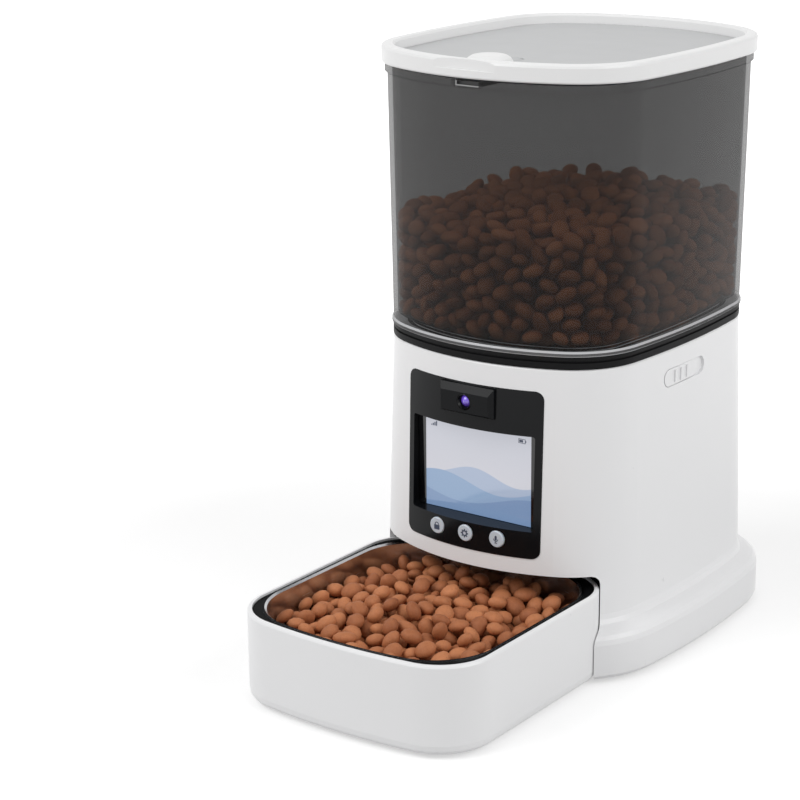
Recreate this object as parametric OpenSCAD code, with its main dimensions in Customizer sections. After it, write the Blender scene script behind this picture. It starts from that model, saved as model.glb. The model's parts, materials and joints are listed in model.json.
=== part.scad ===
// Automatic dry-food feeder: white housing with a control panel and camera,
// smoked hopper with a hinged lid, and a sliding food tray with a metal bowl.
// Lengths are in millimetres, +Z is up and the front faces -Y.

/* [Tower plan] */
// Half width of the tower at its shoulder
half_w = 81.5; // [80:0.5:85]
// Half depth of the tower at its shoulder
half_d = 103.5; // [101:0.5:108]
// Corner radius of the tower at its shoulder
corner_r = 45; // [42:1:47]
// Half angle of the bowed front and back
front_sweep = 24; // [22:1:25]
// Half angle of the bowed sides
side_sweep = 6; // [5:1:7]

/* [Housing] */
// Height of the housing's top edge
shoulder_z = 179; // [177:1:185]
// Wall thickness of the housing
wall = 2.8; // [2.6:0.1:3]
// How far the wall leans out from the shoulder down to the skirt
lean_out = 4.2; // [3.6:0.2:5]
// How far the skirt stands out from the shoulder plan
skirt_out = 16; // [15:0.5:17]
// Height of the skirt's upright side
skirt_side_z = 23; // [21:1:25]
// Height where the skirt has faired into the wall
skirt_top_z = 37; // [35:1:39]

/* [Hopper and lid] */
// Overall height of the feeder
total_h = 345; // [330:1:365]
// Height of the lid's outer band
lid_h = 10; // [9.6:0.1:10.8]
// How far the lid stands out from the shoulder plan
lid_out = 5.6; // [5.2:0.1:6]
// How far the hopper leans out from foot to rim
hopper_out = 2.1; // [1.6:0.1:2.4]
// Wall thickness of the hopper
hopper_wall = 2.6; // [2.4:0.1:2.8]
// Height of the dark band between housing and hopper
seal_h = 7; // [6:0.5:8]

/* [Food tray] */
// Half width of the tray
tray_half_w = 77.5; // [75:0.5:78.5]
// Distance of the tray's front from the tower's centre line
tray_front = 229.5; // [224:0.5:238]
// Height of the tray's rim
tray_h = 53; // [50:1:55]
// Front corner radius of the tray
tray_corner_r = 33; // [29:1:37]
// Half angle of the tray's bowed front
tray_sweep = 7.5; // [6:0.5:9]
// Depth of the bowl's edge below the tray's rim
bowl_drop = 0.2; // [0.2:0.1:0.8]

/* [Control panel] */
// Width of the panel
panel_w = 90; // [89.4:0.2:91]
// Height of the panel
panel_h = 96.4; // [95:0.2:98]
// Corner radius of the panel
panel_r = 5; // [4:0.5:6]
// Width of the screen's well
well_w = 82; // [80:0.5:82.5]
// Height of the screen's well
well_h = 55; // [53:0.5:56]
// Diameter of the round buttons
button_d = 9.7; // [9:0.1:10.4]
// Distance between the buttons
button_pitch = 20.2; // [18:0.2:21]
// Travel of the buttons
button_travel = 0.8; // [0.5:0.1:0.9]
// Width of the camera hood's front
hood_w = 31.5; // [30:0.5:33]
// Depth of the camera hood in front of the panel
hood_depth = 3.4; // [3:0.1:4]
// Radius of the camera's lens
lens_r = 3.2; // [2.8:0.1:3.6]

/* [Metering wheel] */
// Inside radius of the wheel's chamber
chamber_r = 47; // [44:1:48]
// Number of soft vanes
vane_count = 6; // [5:1:8]
// Height of the vanes
vane_h = 16.4; // [15:0.2:16.8]

/* [Hidden] */
$fn = 96;

// Clearances
gap = 0.3;
run_gap = 0.06;
lap = 0.02;
far = 60;

// The tower stands behind the middle of the whole footprint
tower_y = (tray_front - half_d - skirt_out) / 2;

// Tower plan: corner centres and the radii of the bowed sides
front_k = tan(front_sweep / 2);
side_k = tan(side_sweep / 2);
corner_x = ((half_w - corner_r) - side_k * (half_d - corner_r)) / (1 - front_k * side_k);
corner_y = ((half_d - corner_r) - front_k * (half_w - corner_r)) / (1 - front_k * side_k);
front_r = corner_r + corner_x / sin(front_sweep);
side_r = corner_r + corner_y / sin(side_sweep);
front_c = front_r - half_d;

// Tray plan
tray_back = 66;
tray_back_r = 31;
bay_gap = 0.6;
tray_wall = 2.6;
// Bowl: its outer wall behind the tray's outline, and its larger corner radius
bowl_in = 6;
bowl_t = 0.9;
bowl_round = 10;

// Levels
foot_h = 3;
plate_t = 2.5;
plate_top = foot_h + plate_t;
bay_z = tray_h + 7;
liner_z = bay_z + 1.2;
liner_t = 2;
deck_z = shoulder_z - 34.5;
deck_t = 2.5;
deck_top = deck_z + deck_t;
chamber_z = deck_top + 3;
chamber_t = 2.2;
rotor_z = chamber_z + chamber_t + 1;
chamber_top = rotor_z + vane_h + 0.9;
lid_z = total_h - lid_h;
hopper_top = lid_z - gap;
seal_top = shoulder_z + seal_h;
// Depth of the hopper's plug behind the outline
plug_in = 8;
// Rise of the funnel per millimetre
funnel_slope = 0.36;
// Height where the dosing chamber's wall meets the funnel
chamber_rim = chamber_top - 2.6;
// Height that every cut from the floor upwards passes
through = 400;
// Place in front of the panel where cuts to the rear start
ahead = -200;

// Housing wall: offset from the shoulder plan at a height
function wall_off(z) = lean_out * (shoulder_z - z) / (shoulder_z - skirt_top_z);
// Inner face of the skirt and its fairing, from the floor up to the plain wall, eased in by a clearance
function skirt_inside(low, ease) = [[skirt_in - ease, low], [skirt_in - ease, skirt_side_z],
    [skirt_in - 3.4 - ease, skirt_side_z + 3.6], [lean_out + 0.5 - ease, skirt_top_z - 8.2],
    [lean_out - 1.3 - ease, skirt_top_z - 5.6], [lean_out - wall - ease, skirt_top_z]];
// Front, back and side faces of the tower plan at an offset
function front_y(x, off) = front_c - sqrt(pow(front_r + off, 2) - x * x);
function side_x(y, off) = half_w - side_r + sqrt(pow(side_r + off, 2) - y * y);

// Control panel
panel_proud = 0.4;
panel_seat = 1.7;
panel_z = (bay_z + shoulder_z) / 2 - 2;
well_t = 1.2;
key_gap = 0.5;
hood_low = 8;
hood_top = 10;
panel_slack = panel_h - button_d - key_gap - well_h - 2 * well_t - hood_low - hood_top - gap;
button_z = panel_z - panel_h / 2 + gap + 0.38 * panel_slack + button_d / 2;
screen_z = button_z + button_d / 2 + key_gap + well_t + well_h / 2;
panel_ledge = min(4, button_z - button_d / 2 - key_gap / 2 - panel_z + panel_h / 2);
hood_z = panel_z + panel_h / 2 - hood_top;
glass_front = 9.3 - half_d;
glass_t = 1.4;
module_t = 3.6;
well_back = glass_front + glass_t + module_t + 0.5;
board_t = 1.6;
main_y = well_back + 2.8;
hood_front = front_y(0, wall_off(hood_z) + panel_proud) - hood_depth;
lens_bore = lens_r + 1.6;
control_y = front_y(0, wall_off(button_z)) + 8.3;

// Drive
shaft_r = 4;
hex_af = 8;
gear_h = 22.5;
gear_z = deck_z - gear_h;
gear_half = 24;
gear_rear = 40;
ear_x = gear_half + 5;
ear_y = [4, gear_rear - 6];
ear_t = 4;
motor_r = 13.8;
motor_h = 31;
motor_y = 22;
outlet_in = 18;
outlet_out = chamber_r - 2;
outlet_half = 38;

// Chute: y of its inner faces at the deck, at the bend and at the foot
chute_half = 28;
chute_wall = 2;
chute_front = [1 - chamber_r, 25.5 - half_d, 5.5 - half_d];
chute_rear = [33 - chamber_r, 53.5 - half_d, 21.5 - half_d];
chute_foot = liner_z + liner_t;
chute_bend = [chute_foot + 25, chute_foot + 32];

// Side latches
latch_z = shoulder_z - 16.5;
latch_y = -6;
latch_len = 45;
latch_h = 10.4;
latch_travel = 8;
slider_len = latch_len - latch_travel - 1;
slider_y = latch_y - latch_len / 2 + slider_len / 2 + 0.5;
pocket_x = side_x(latch_y - latch_len / 2, wall_off(latch_z)) - 1.2;
tongue_y = -18;
tongue_len = 20;

// Lid
ledge_in = 9;
ledge_t = 2.2;
inset_z = lid_z + ledge_t;
inset_t = 2;
inset_top = inset_z + inset_t;
hinge_r = 3;
hinge_y = half_d + lid_out + 2.7;
hinge_z = lid_z + 4;
pin_r = 1.5;
knuckle_half = 14;
lug_x = 15;
lug_w = 10;
tab_r = 13;
tab_y = 20 - half_d;
tongue_z = lid_z - 4.6;
tongue_h = 2.4;
case_r = 27;
case_y = 20;

// Base
boss_r = 4.5;
boss_in = 8.2;
skirt_in = skirt_out - wall;
boss_reach = corner_r + skirt_in - boss_in;
rear_boss = [corner_x + boss_reach * cos(45), corner_y + boss_reach * sin(45)];
side_boss = [half_w + skirt_in - boss_in - 0.8, -30];
bosses = [rear_boss, [-rear_boss[0], rear_boss[1]], side_boss, [-side_boss[0], side_boss[1]]];
foot_spots = [[58, 74], [-58, 74], [68, -44], [-68, -44]];
tray_foot_spots = [[58, -198], [-58, -198], [50, -84], [-50, -84]];
deck_spot = 28.6;
cell_r = 16.6;
cell_l = 58;
cell_pitch = 35;
cell_y = 28;
cell_z = plate_top + cell_r + 1;
box_t = 1.6;
box_x = cell_l / 2 + 5.5;
box_y = cell_pitch + cell_r + 1.4;
box_top = cell_z + cell_r + 0.6;
cover_x = box_x - 2;
cover_y = box_y - 2;
speaker_r = 18;
speaker_z = panel_z - 32;
inlet_z = skirt_top_z + 10;

// Places every piece in the frame of the whole feeder
module place() {
    translate([0, tower_y, 0])
        children();
}

// Extrudes a drawing of x and z along Y
module along_y(y0, y1) {
    translate([0, y1, 0])
        rotate([90, 0, 0])
            linear_extrude(y1 - y0)
                children();
}

// Extrudes a drawing of y and z along X
module along_x(x0, x1) {
    translate([x0, 0, 0])
        rotate([90, 0, 90])
            linear_extrude(x1 - x0)
                children();
}

// Block between two corners
module block(low, high) {
    translate(low)
        cube(high - low);
}

// Rounded rectangle
module rounded(w, h, r) {
    square([w - 2 * r, h], center = true);
    square([w, h - 2 * r], center = true);
    for (i = [-1, 1], j = [-1, 1])
        translate([i * (w / 2 - r), j * (h / 2 - r)])
            circle(r);
}

// Slot with round ends
module stadium(l, h) {
    square([l - h, h], center = true);
    for (i = [-1, 1])
        translate([i * (l - h) / 2, 0])
            circle(d = h);
}

// Solid of revolution whose outline stands at r plus the profile's offsets
module turned(r, pts) {
    last = len(pts) - 1;
    rotate_extrude()
        polygon(concat([[0, pts[0][1]]], [for (p = pts) [r + p[0], p[1]]], [[0, pts[last][1]]]));
}

// Bowed, round-cornered solid on the tower plan; pts are [offset, z] from bottom to top
module tower_solid(pts) {
    low = corner_r + min([for (p = pts) p[0]]) - 1;
    z0 = min([for (p = pts) p[1]]) - 1;
    z1 = max([for (p = pts) p[1]]) + 1;
    front_n = [sin(front_sweep), cos(front_sweep)];
    side_n = [cos(side_sweep), sin(side_sweep)];
    corner = [corner_x, corner_y];
    quarter = [corner + (low + far) * front_n, corner + low * front_n, corner + low * side_n,
        corner + (low + far) * side_n];
    outline = concat(quarter,
        [for (i = [3:-1:0]) [quarter[i][0], -quarter[i][1]]],
        [for (i = [0:3]) -quarter[i]],
        [for (i = [3:-1:0]) [-quarter[i][0], quarter[i][1]]]);
    intersection() {
        translate([0, front_c, 0])
            turned(front_r, pts);
        translate([0, -front_c, 0])
            turned(front_r, pts);
        translate([half_w - side_r, 0, 0])
            turned(side_r, pts);
        translate([side_r - half_w, 0, 0])
            turned(side_r, pts);
        translate([0, 0, z0])
            linear_extrude(z1 - z0)
                polygon(outline);
    }
    for (i = [-1, 1], j = [-1, 1])
        translate([i * corner_x, j * corner_y, 0])
            turned(corner_r + lap, pts);
}

// Solid on the tray plan: bowed front, straight sides and back; pts are [offset, z] from bottom to top,
// and the corners are rounder by a radius
module tray_solid(pts, rounder = 0) {
    front_corner = tray_corner_r + rounder;
    back_corner = tray_back_r + rounder;
    corner_at = tray_half_w - front_corner;
    bow_r = front_corner + corner_at / sin(tray_sweep);
    least = min([for (p = pts) p[0]]) - 1;
    z0 = min([for (p = pts) p[1]]) - 1;
    z1 = max([for (p = pts) p[1]]) + 1;
    last = len(pts) - 1;
    front = [corner_at, bow_r - tray_front - (bow_r - front_corner) * cos(tray_sweep)];
    back = [tray_half_w - back_corner, -tray_back - back_corner];
    front_n = [sin(tray_sweep), -cos(tray_sweep)];
    low_f = front_corner + least;
    low_b = back_corner + least;
    half = [front + (low_f + far) * front_n, front + low_f * front_n, front + [low_f, 0],
        front + [low_f + far, 0], back + [low_b + far, 0], back + [low_b, 0], back + [0, low_b],
        back + [0, low_b + far]];
    intersection() {
        translate([0, bow_r - tray_front, 0])
            turned(bow_r, pts);
        along_y(-tray_front - far, far)
            polygon(concat([for (p = pts) [tray_half_w + p[0], p[1]]],
                [for (i = [last:-1:0]) [-tray_half_w - pts[i][0], pts[i][1]]]));
        along_x(-2 * tray_half_w, 2 * tray_half_w)
            polygon(concat([for (p = pts) [p[0] - tray_back, p[1]]],
                [[-2 * tray_front, pts[last][1]], [-2 * tray_front, pts[0][1]]]));
        translate([0, 0, z0])
            linear_extrude(z1 - z0)
                polygon(concat(half, [for (i = [7:-1:0]) [-half[i][0], half[i][1]]]));
    }
    for (i = [-1, 1]) {
        translate([i * front[0], front[1], 0])
            turned(front_corner + lap, pts);
        translate([i * back[0], back[1], 0])
            turned(back_corner + lap, pts);
    }
}

// Band that follows the housing's bowed and leaning front, from an outer to an inner offset
module front_band(z0, z1, out, depth) {
    span = 24;
    translate([0, front_c, 0])
        rotate_extrude(angle = 2 * span, start = 270 - span)
            polygon([for (p = [[z0, out], [z1, out], [z1, -depth], [z0, -depth]])
                [front_r + wall_off(p[0]) + p[1], p[0]]]);
}

// Self-tapping screw, head down, shank up from z = 0
module screw(r, length, head_r, head_h) {
    translate([0, 0, -head_h / 2])
        cylinder(r = r, h = length + head_h / 2);
    translate([0, 0, -head_h])
        cylinder(r = head_r, h = head_h);
}

module housing() {
    outer = [[skirt_out - 1.2, foot_h], [skirt_out, foot_h + 2], [skirt_out, skirt_side_z],
        [skirt_out - 0.8, skirt_side_z + 2.8], [skirt_out - 2.6, skirt_side_z + 4.8],
        [skirt_out - 5, skirt_side_z + 6.2], [lean_out + 1.8, skirt_top_z - 5.6],
        [lean_out + 0.6, skirt_top_z - 3], [lean_out, skirt_top_z], [0.05, shoulder_z - 1.2],
        [-0.9, shoulder_z]];
    inner = concat(skirt_inside(foot_h - 1, 0), [[wall_off(deck_z - 2.3) - wall, deck_z - 2.3],
        [-6.5, deck_z - 2.3], [-6.5, deck_z], [wall_off(deck_z) - wall, deck_z],
        [-wall, shoulder_z + 1]]);
    bay_low = [bay_gap, -10];
    color([0.87, 0.87, 0.86])
        difference() {
            union() {
                difference() {
                    tower_solid(outer);
                    tower_solid(inner);
                }
                for (b = bosses)
                    translate([b[0], b[1], plate_top])
                        cylinder(r = boss_r, h = 22);
                for (s = [-1, 1]) {
                    translate([s * corner_x, corner_y, plate_top])
                        rotate([0, 0, 90 - s * 45])
                            translate([boss_reach + 3, -1.2, 0])
                                cube([boss_in - 2, 2.4, 18]);
                    translate([s * (side_boss[0] + 6.6), side_boss[1], plate_top + 9])
                        cube([6.4, 2.4, 18], center = true);
                }
                difference() {
                    along_y(92.5, -front_y(speaker_r + 2, wall_off(speaker_z) - 1))
                        translate([0, speaker_z])
                            circle(speaker_r + 2);
                    along_y(92, 120)
                        translate([0, speaker_z])
                            circle(speaker_r + gap);
                }
            }
            // Bosses take the base screws
            for (b = bosses)
                translate([b[0], b[1], plate_top - 1])
                    cylinder(r = 1.75, h = 16);
            // Front bay for the tray
            tray_solid([bay_low, [bay_gap, bay_z - 5],
                [bay_gap - 0.7, bay_z - 2.5], [bay_gap - 2.5, bay_z - 0.7],
                [bay_gap - 5, bay_z]]);
            // Seat and window of the control panel
            intersection() {
                front_band(panel_z - panel_h, panel_z + panel_h, 6, panel_seat);
                along_y(ahead, 0)
                    translate([0, panel_z])
                        rounded(panel_w + gap, panel_h + gap, panel_r);
            }
            along_y(ahead, -60)
                translate([0, panel_z + panel_ledge / 2 - 2])
                    square([well_w + 2 * well_t + 1.6, panel_h - 4 - panel_ledge], center = true);
            // Latch recesses with a slot for the stem
            for (s = [-1, 1])
                mirror([s < 0 ? 1 : 0, 0, 0]) {
                    along_x(pocket_x, half_w + 20)
                        translate([latch_y, latch_z])
                            stadium(latch_len, latch_h);
                    along_x(pocket_x - 8, half_w + 20)
                        translate([slider_y + latch_travel / 2, latch_z])
                            square([10.6 + latch_travel, 4.2], center = true);
                }
            // Screw holes in the deck's ledge
            for (i = [-1, 1], j = [-1, 1])
                translate([i * (corner_x + deck_spot), j * (corner_y + deck_spot), deck_z - 4])
                    cylinder(r = 1.3, h = 6);
            // Speaker holes and the power inlet at the back
            along_y(60, 130)
                union() {
                    for (i = [-2:2], j = [-2:2])
                        if (i * i + j * j < 7)
                            translate([i * 6, speaker_z + j * 6])
                                circle(1.3);
                    translate([0, inlet_z])
                        rounded(10.6, 5, 2);
                }
        }
}

module base_plate() {
    color([0.8, 0.8, 0.8])
        difference() {
            tower_solid([[skirt_out - wall - gap, foot_h], [skirt_out - wall - gap, plate_top]]);
            tray_solid([[2 * bay_gap, 0], [2 * bay_gap, 20]]);
            block([-cover_x, cell_y - cover_y, 0], [cover_x, cell_y + cover_y, 20]);
            for (b = bosses)
                translate([b[0], b[1], 0]) {
                    cylinder(r = 2, h = 20);
                    cylinder(r = 3.9, h = foot_h + 1.6);
                }
        }
}

module bay_liner() {
    clear = 2 * bay_gap;
    color([0.03, 0.03, 0.035])
        intersection() {
            tower_solid(concat(skirt_inside(plate_top, gap),
                [[wall_off(chute_foot) - wall - gap, chute_foot]]));
            difference() {
                tray_solid([[clear + liner_t, plate_top], [clear + liner_t, chute_foot]]);
                tray_solid([[clear, 0], [clear, liner_z]]);
                block([-chute_half, chute_front[2], 0], [chute_half, chute_rear[2], through]);
            }
        }
}

module deck() {
    off = wall_off(deck_top) - wall - gap;
    color([0.75, 0.75, 0.75])
        difference() {
            union() {
                tower_solid([[off, deck_z], [off, deck_top]]);
                block([-chute_half - 2, chute_front[0] - 2, deck_z],
                    [chute_half + 2, chute_rear[0] + 2, chamber_z - gap]);
            }
            block([-chute_half, chute_front[0], 0], [chute_half, chute_rear[0], through]);
            cylinder(r = shaft_r + 1.2, h = through);
            for (i = [-1, 1], j = ear_y)
                translate([i * ear_x, j, 0])
                    cylinder(r = 1.6, h = through);
            for (i = [-1, 1], j = [-1, 1])
                translate([i * (corner_x + deck_spot), j * (corner_y + deck_spot), 0])
                    cylinder(r = 1.4, h = through);
        }
}

module chute() {
    color([0.85, 0.85, 0.84])
        difference() {
            along_x(-chute_half - chute_wall, chute_half + chute_wall)
                polygon([[chute_front[0] - 2.2, deck_z], [chute_front[1] - 2.4, chute_bend[0] - 0.6],
                    [chute_front[2] - 2.6, chute_foot], [chute_rear[2] + 2.8, chute_foot],
                    [chute_rear[1] + 2.6, chute_bend[1] - 0.6], [chute_rear[0] + 2.4, deck_z]]);
            along_x(-chute_half, chute_half)
                polygon([[chute_front[0], deck_z + 1], [chute_front[0], deck_z],
                    [chute_front[1], chute_bend[0]],
                    [chute_front[2], chute_foot], [chute_front[2], chute_foot - 1],
                    [chute_rear[2], chute_foot - 1], [chute_rear[2], chute_foot],
                    [chute_rear[1], chute_bend[1]], [chute_rear[0], deck_z], [chute_rear[0], deck_z + 1]]);
        }
}

module feet() {
    color([0.1, 0.1, 0.1])
        for (p = foot_spots)
            translate([p[0], p[1], 0])
                turned(7, [[-0.8, 0], [0, 0.8], [0, foot_h]]);
}

module base_screws() {
    color("silver")
        for (b = bosses)
            translate([b[0], b[1], foot_h + 1.6])
                screw(1.6, 14, 3.5, 1.4);
}

module deck_screws() {
    color("silver")
        for (i = [-1, 1], j = [-1, 1])
            translate([i * (corner_x + deck_spot), j * (corner_y + deck_spot), deck_top])
                mirror([0, 0, 1])
                    screw(1.2, 4.5, 2.4, 1.4);
}

module front_panel() {
    post_x = 34;
    color([0.03, 0.03, 0.035])
        difference() {
            union() {
                intersection() {
                    front_band(panel_z - panel_h, panel_z + panel_h, panel_proud, panel_seat - 0.05);
                    along_y(ahead, 0)
                        translate([0, panel_z])
                            rounded(panel_w, panel_h, panel_r);
                }
                // Walls of the sunken screen well
                intersection() {
                    front_band(panel_z - panel_h, panel_z + panel_h, panel_proud - 0.2, 40);
                    along_y(ahead, well_back)
                        translate([0, screen_z])
                            square([well_w + 2 * well_t, well_h + 2 * well_t], center = true);
                }
                // Posts for the boards
                for (i = [-1, 1]) {
                    along_y(front_y(post_x, wall_off(button_z) - 1), control_y)
                        translate([i * post_x, button_z])
                            circle(2);
                    for (j = [-1, 1])
                        block([i * (well_w + well_t) / 2 - well_t / 2, well_back - 1, screen_z + j * 14 - 3],
                            [i * (well_w + well_t) / 2 + well_t / 2, main_y, screen_z + j * 14 + 3]);
                }
            }
            along_y(ahead, 0)
                translate([0, screen_z])
                    rounded(well_w, well_h, 1.5);
            along_y(ahead, -60)
                union() {
                    for (i = [-1:1])
                        translate([i * button_pitch, button_z])
                            circle(d = button_d + 2 * gap);
                    translate([0, hood_z])
                        circle(lens_bore + 0.1);
                }
        }
}

module camera_hood() {
    low = hood_z - hood_low;
    color([0.035, 0.035, 0.04])
        difference() {
            hull() {
                block([-hood_w / 2, hood_front, low + 1.8], [hood_w / 2, hood_front + 1, hood_z + 5.2]);
                block([-hood_w / 2 - 2.2, hood_front + 3, low],
                    [hood_w / 2 + 2.2, hood_front + 9, hood_z + 9]);
            }
            front_band(panel_z - panel_h, panel_z + panel_h, panel_proud + 0.05, 40, $fn = 360);
            along_y(ahead, 0)
                translate([0, hood_z])
                    circle(lens_bore);
        }
}

module camera_ring() {
    color([0.12, 0.12, 0.13])
        translate([0, hood_front - 0.5, hood_z])
            rotate([-90, 0, 0])
                difference() {
                    turned(lens_bore - 0.1, [[-0.6, 0], [0, 0.6], [0, 5]]);
                    turned(lens_r + 0.1, [[0.9, -0.1], [0, 1.4], [0, 6]]);
                }
}

module camera_lens() {
    color([0.2, 0.12, 0.35, 0.8])
        translate([0, hood_front + 0.4, hood_z])
            rotate([-90, 0, 0])
                turned(lens_r, [[-3.2, 0], [-1.9, 0.35], [-0.8, 0.9], [0, 1.7], [0, 3.4]]);
}

module camera_board() {
    board_y = front_y(12, wall_off(hood_z) - wall) + 1.2;
    low = max(hood_z - 7, deck_top + 2 * gap);
    color([0.05, 0.3, 0.15]) {
        along_y(board_y, board_y + 1.2)
            translate([-11, low])
                square([22, hood_z + 7 - low]);
        along_y(hood_front + 4.6, board_y)
            translate([0, hood_z])
                circle(lens_bore - 0.2);
    }
}

module display_glass() {
    color([0.75, 0.8, 0.9])
        along_y(glass_front, glass_front + glass_t)
            translate([0, screen_z])
                rounded(well_w - 2 * gap, well_h - 2 * gap, 1.4);
}

module display_module() {
    color([0.55, 0.56, 0.58])
        along_y(glass_front + glass_t, glass_front + glass_t + module_t)
            translate([0, screen_z])
                rounded(well_w - 2 * gap, well_h - 2 * gap, 1.4);
}

module main_board() {
    chips = [[-18, 8, 14, 14, 1.6], [8, 10, 10, 10, 1.4], [22, -4, 12, 8, 2.6], [-6, -6, 16, 7, 3.2]];
    color([0.05, 0.3, 0.15]) {
        along_y(main_y, main_y + board_t)
            translate([0, screen_z])
                square([well_w + 2 * well_t, well_h - 11], center = true);
        for (c = chips)
            along_y(main_y + board_t, main_y + board_t + c[4])
                translate([c[0], screen_z + c[1]])
                    square([c[2], c[3]], center = true);
    }
}

// Rear face of a button's retaining flange
function flange_y(x) = front_y(abs(x) + button_d / 2 + 1.5, wall_off(button_z) - panel_seat) + gap + 1.2;

module control_board() {
    color([0.05, 0.3, 0.15]) {
        along_y(control_y, control_y + board_t)
            translate([0, button_z])
                square([3 * button_pitch + button_d + 1.7, button_d + gap], center = true);
        for (i = [-1:1])
            along_y(flange_y(i * button_pitch) + button_travel + gap, control_y)
                translate([i * button_pitch, button_z])
                    square([6, 6], center = true);
    }
}

// Push button at x, its face just proud of the panel
module button(x) {
    face = front_y(x, wall_off(button_z) + panel_proud) - 0.7;
    back = flange_y(x);
    color([0.85, 0.86, 0.88])
        translate([x, face, button_z])
            rotate([-90, 0, 0])
                union() {
                    turned(button_d / 2, [[-0.5, 0], [0, 0.5], [0, back - face]]);
                    translate([0, 0, back - face - 0.6])
                        cube([button_d + 3, 5, 1.2], center = true);
                }
}

module button_lock() {
    button(-button_pitch);
}

module button_set() {
    button(0);
}

module button_talk() {
    button(button_pitch);
}

module speaker() {
    rim_y = -front_y(speaker_r, wall_off(speaker_z) - wall) - gap;
    color([0.12, 0.12, 0.12])
        translate([0, rim_y, speaker_z])
            rotate([90, 0, 0])
                difference() {
                    turned(speaker_r, [[0, 0], [0, 2.4], [-6, 5.5], [-6, 9]]);
                    turned(speaker_r, [[-2, -0.1], [-2, 0.6], [-9, 2.6]]);
                }
}

module gearbox() {
    color([0.2, 0.2, 0.21])
        difference() {
            union() {
                block([-gear_half, -shaft_r - 6.5, gear_z], [gear_half, gear_rear, deck_z]);
                for (i = [-1, 1], j = ear_y)
                    block([i * ear_x - 5.5, j - 5, deck_z - ear_t], [i * ear_x + 5.5, j + 5, deck_z]);
            }
            translate([0, 0, gear_z + 4])
                cylinder(r = shaft_r + run_gap, h = gear_h);
            for (i = [-1, 1], j = ear_y)
                translate([i * ear_x, j, 0])
                    cylinder(r = 1.7, h = through);
        }
}

module motor() {
    color([0.7, 0.7, 0.72]) {
        translate([0, motor_y, gear_z - motor_h])
            cylinder(r = motor_r, h = motor_h);
        translate([0, motor_y, gear_z - motor_h - 2])
            cylinder(r = 4, h = 2.5);
    }
}

module gearbox_screws() {
    color("silver")
        for (i = [-1, 1], j = ear_y)
            translate([i * ear_x, j, deck_z - ear_t])
                screw(1.5, 6.4, 2.8, 1.8);
}

module drive_shaft() {
    color("silver") {
        translate([0, 0, gear_z + 4.4])
            cylinder(r = shaft_r, h = chamber_z + 0.6 - gear_z - 4.4);
        translate([0, 0, chamber_z + 0.5])
            cylinder(d = hex_af / cos(30), h = 13, $fn = 6);
    }
}

module power_socket() {
    seat = -front_y(9, wall_off(inlet_z) - wall) - gap;
    color([0.08, 0.08, 0.08])
        difference() {
            union() {
                along_y(seat - 2, seat)
                    translate([0, inlet_z])
                        rounded(18, 10, 2);
                along_y(seat - 8, seat + wall - 0.4)
                    translate([0, inlet_z])
                        rounded(9.9, 4.4, 1.8);
            }
            difference() {
                along_y(seat - 5, seat + 10)
                    translate([0, inlet_z])
                        rounded(8.4, 2.8, 1.2);
                along_y(seat - 6, seat + 1)
                    translate([0, inlet_z])
                        square([6.2, 0.7], center = true);
            }
        }
}

module battery_box() {
    color([0.08, 0.08, 0.085])
        difference() {
            block([-box_x - box_t, cell_y - box_y - box_t, plate_top],
                [box_x + box_t, cell_y + box_y + box_t, box_top + box_t]);
            block([-box_x, cell_y - box_y, 0], [box_x, cell_y + box_y, box_top]);
        }
}

module battery_contacts() {
    color("gold")
        for (i = [-1, 1], j = [-1:1])
            translate([0, cell_y + j * cell_pitch, cell_z])
                mirror([i < 0 ? 1 : 0, 0, 0]) {
                    along_x(box_x - 0.6, box_x)
                        square([18, 22], center = true);
                    along_x(cell_l / 2 + 1.5, box_x - 0.5)
                        circle(4);
                }
}

module battery_cells() {
    color([0.25, 0.3, 0.33])
        for (j = [-1:1])
            translate([0, cell_y + j * cell_pitch, cell_z])
                rotate([0, (j % 2 == 0) ? 90 : -90, 0]) {
                    translate([0, 0, -cell_l / 2 - 1])
                        cylinder(r = cell_r, h = cell_l);
                    translate([0, 0, cell_l / 2 - 1.1])
                        cylinder(r = 4.5, h = 2.1);
                }
}

module battery_cover() {
    color([0.8, 0.8, 0.8])
        difference() {
            block([-cover_x + gap, cell_y - cover_y + gap, foot_h + 0.2],
                [cover_x - gap, cell_y + cover_y - gap, plate_top - 0.2]);
            translate([0, cell_y + cover_y - 6, 0]) {
                cylinder(r = 1.5, h = 20);
                cylinder(r = 3, h = foot_h + 1.3);
            }
        }
}

module battery_screw() {
    color("silver")
        translate([0, cell_y + cover_y - 6, foot_h + 1.3])
            screw(1.3, 4, 2.7, 0.9);
}

// Thumb slider with three ribs, a stem through the wall and a locking tongue
module hopper_latch() {
    skin = pocket_x + 1.5;
    color([0.86, 0.86, 0.85]) {
        along_x(pocket_x + 0.2, skin)
            translate([slider_y, latch_z])
                stadium(slider_len, latch_h - 2 * gap);
        for (i = [-1:1])
            along_x(skin - 0.1, skin + 0.9)
                translate([slider_y + i * 6.65, latch_z])
                    square([1.8, latch_h - 3.4], center = true);
        along_x(side_x(0, -wall) - 1.8, pocket_x + 0.3)
            translate([slider_y, latch_z])
                square([10, 3.6], center = true);
        block([side_x(0, -plug_in) + 0.6, tongue_y, latch_z - 1.8],
            [side_x(0, -wall) - 1, tongue_y + tongue_len, latch_z + 1.8]);
    }
}

module hopper_latch_left() {
    mirror([1, 0, 0])
        hopper_latch();
}

module hopper_latch_right() {
    hopper_latch();
}

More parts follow.
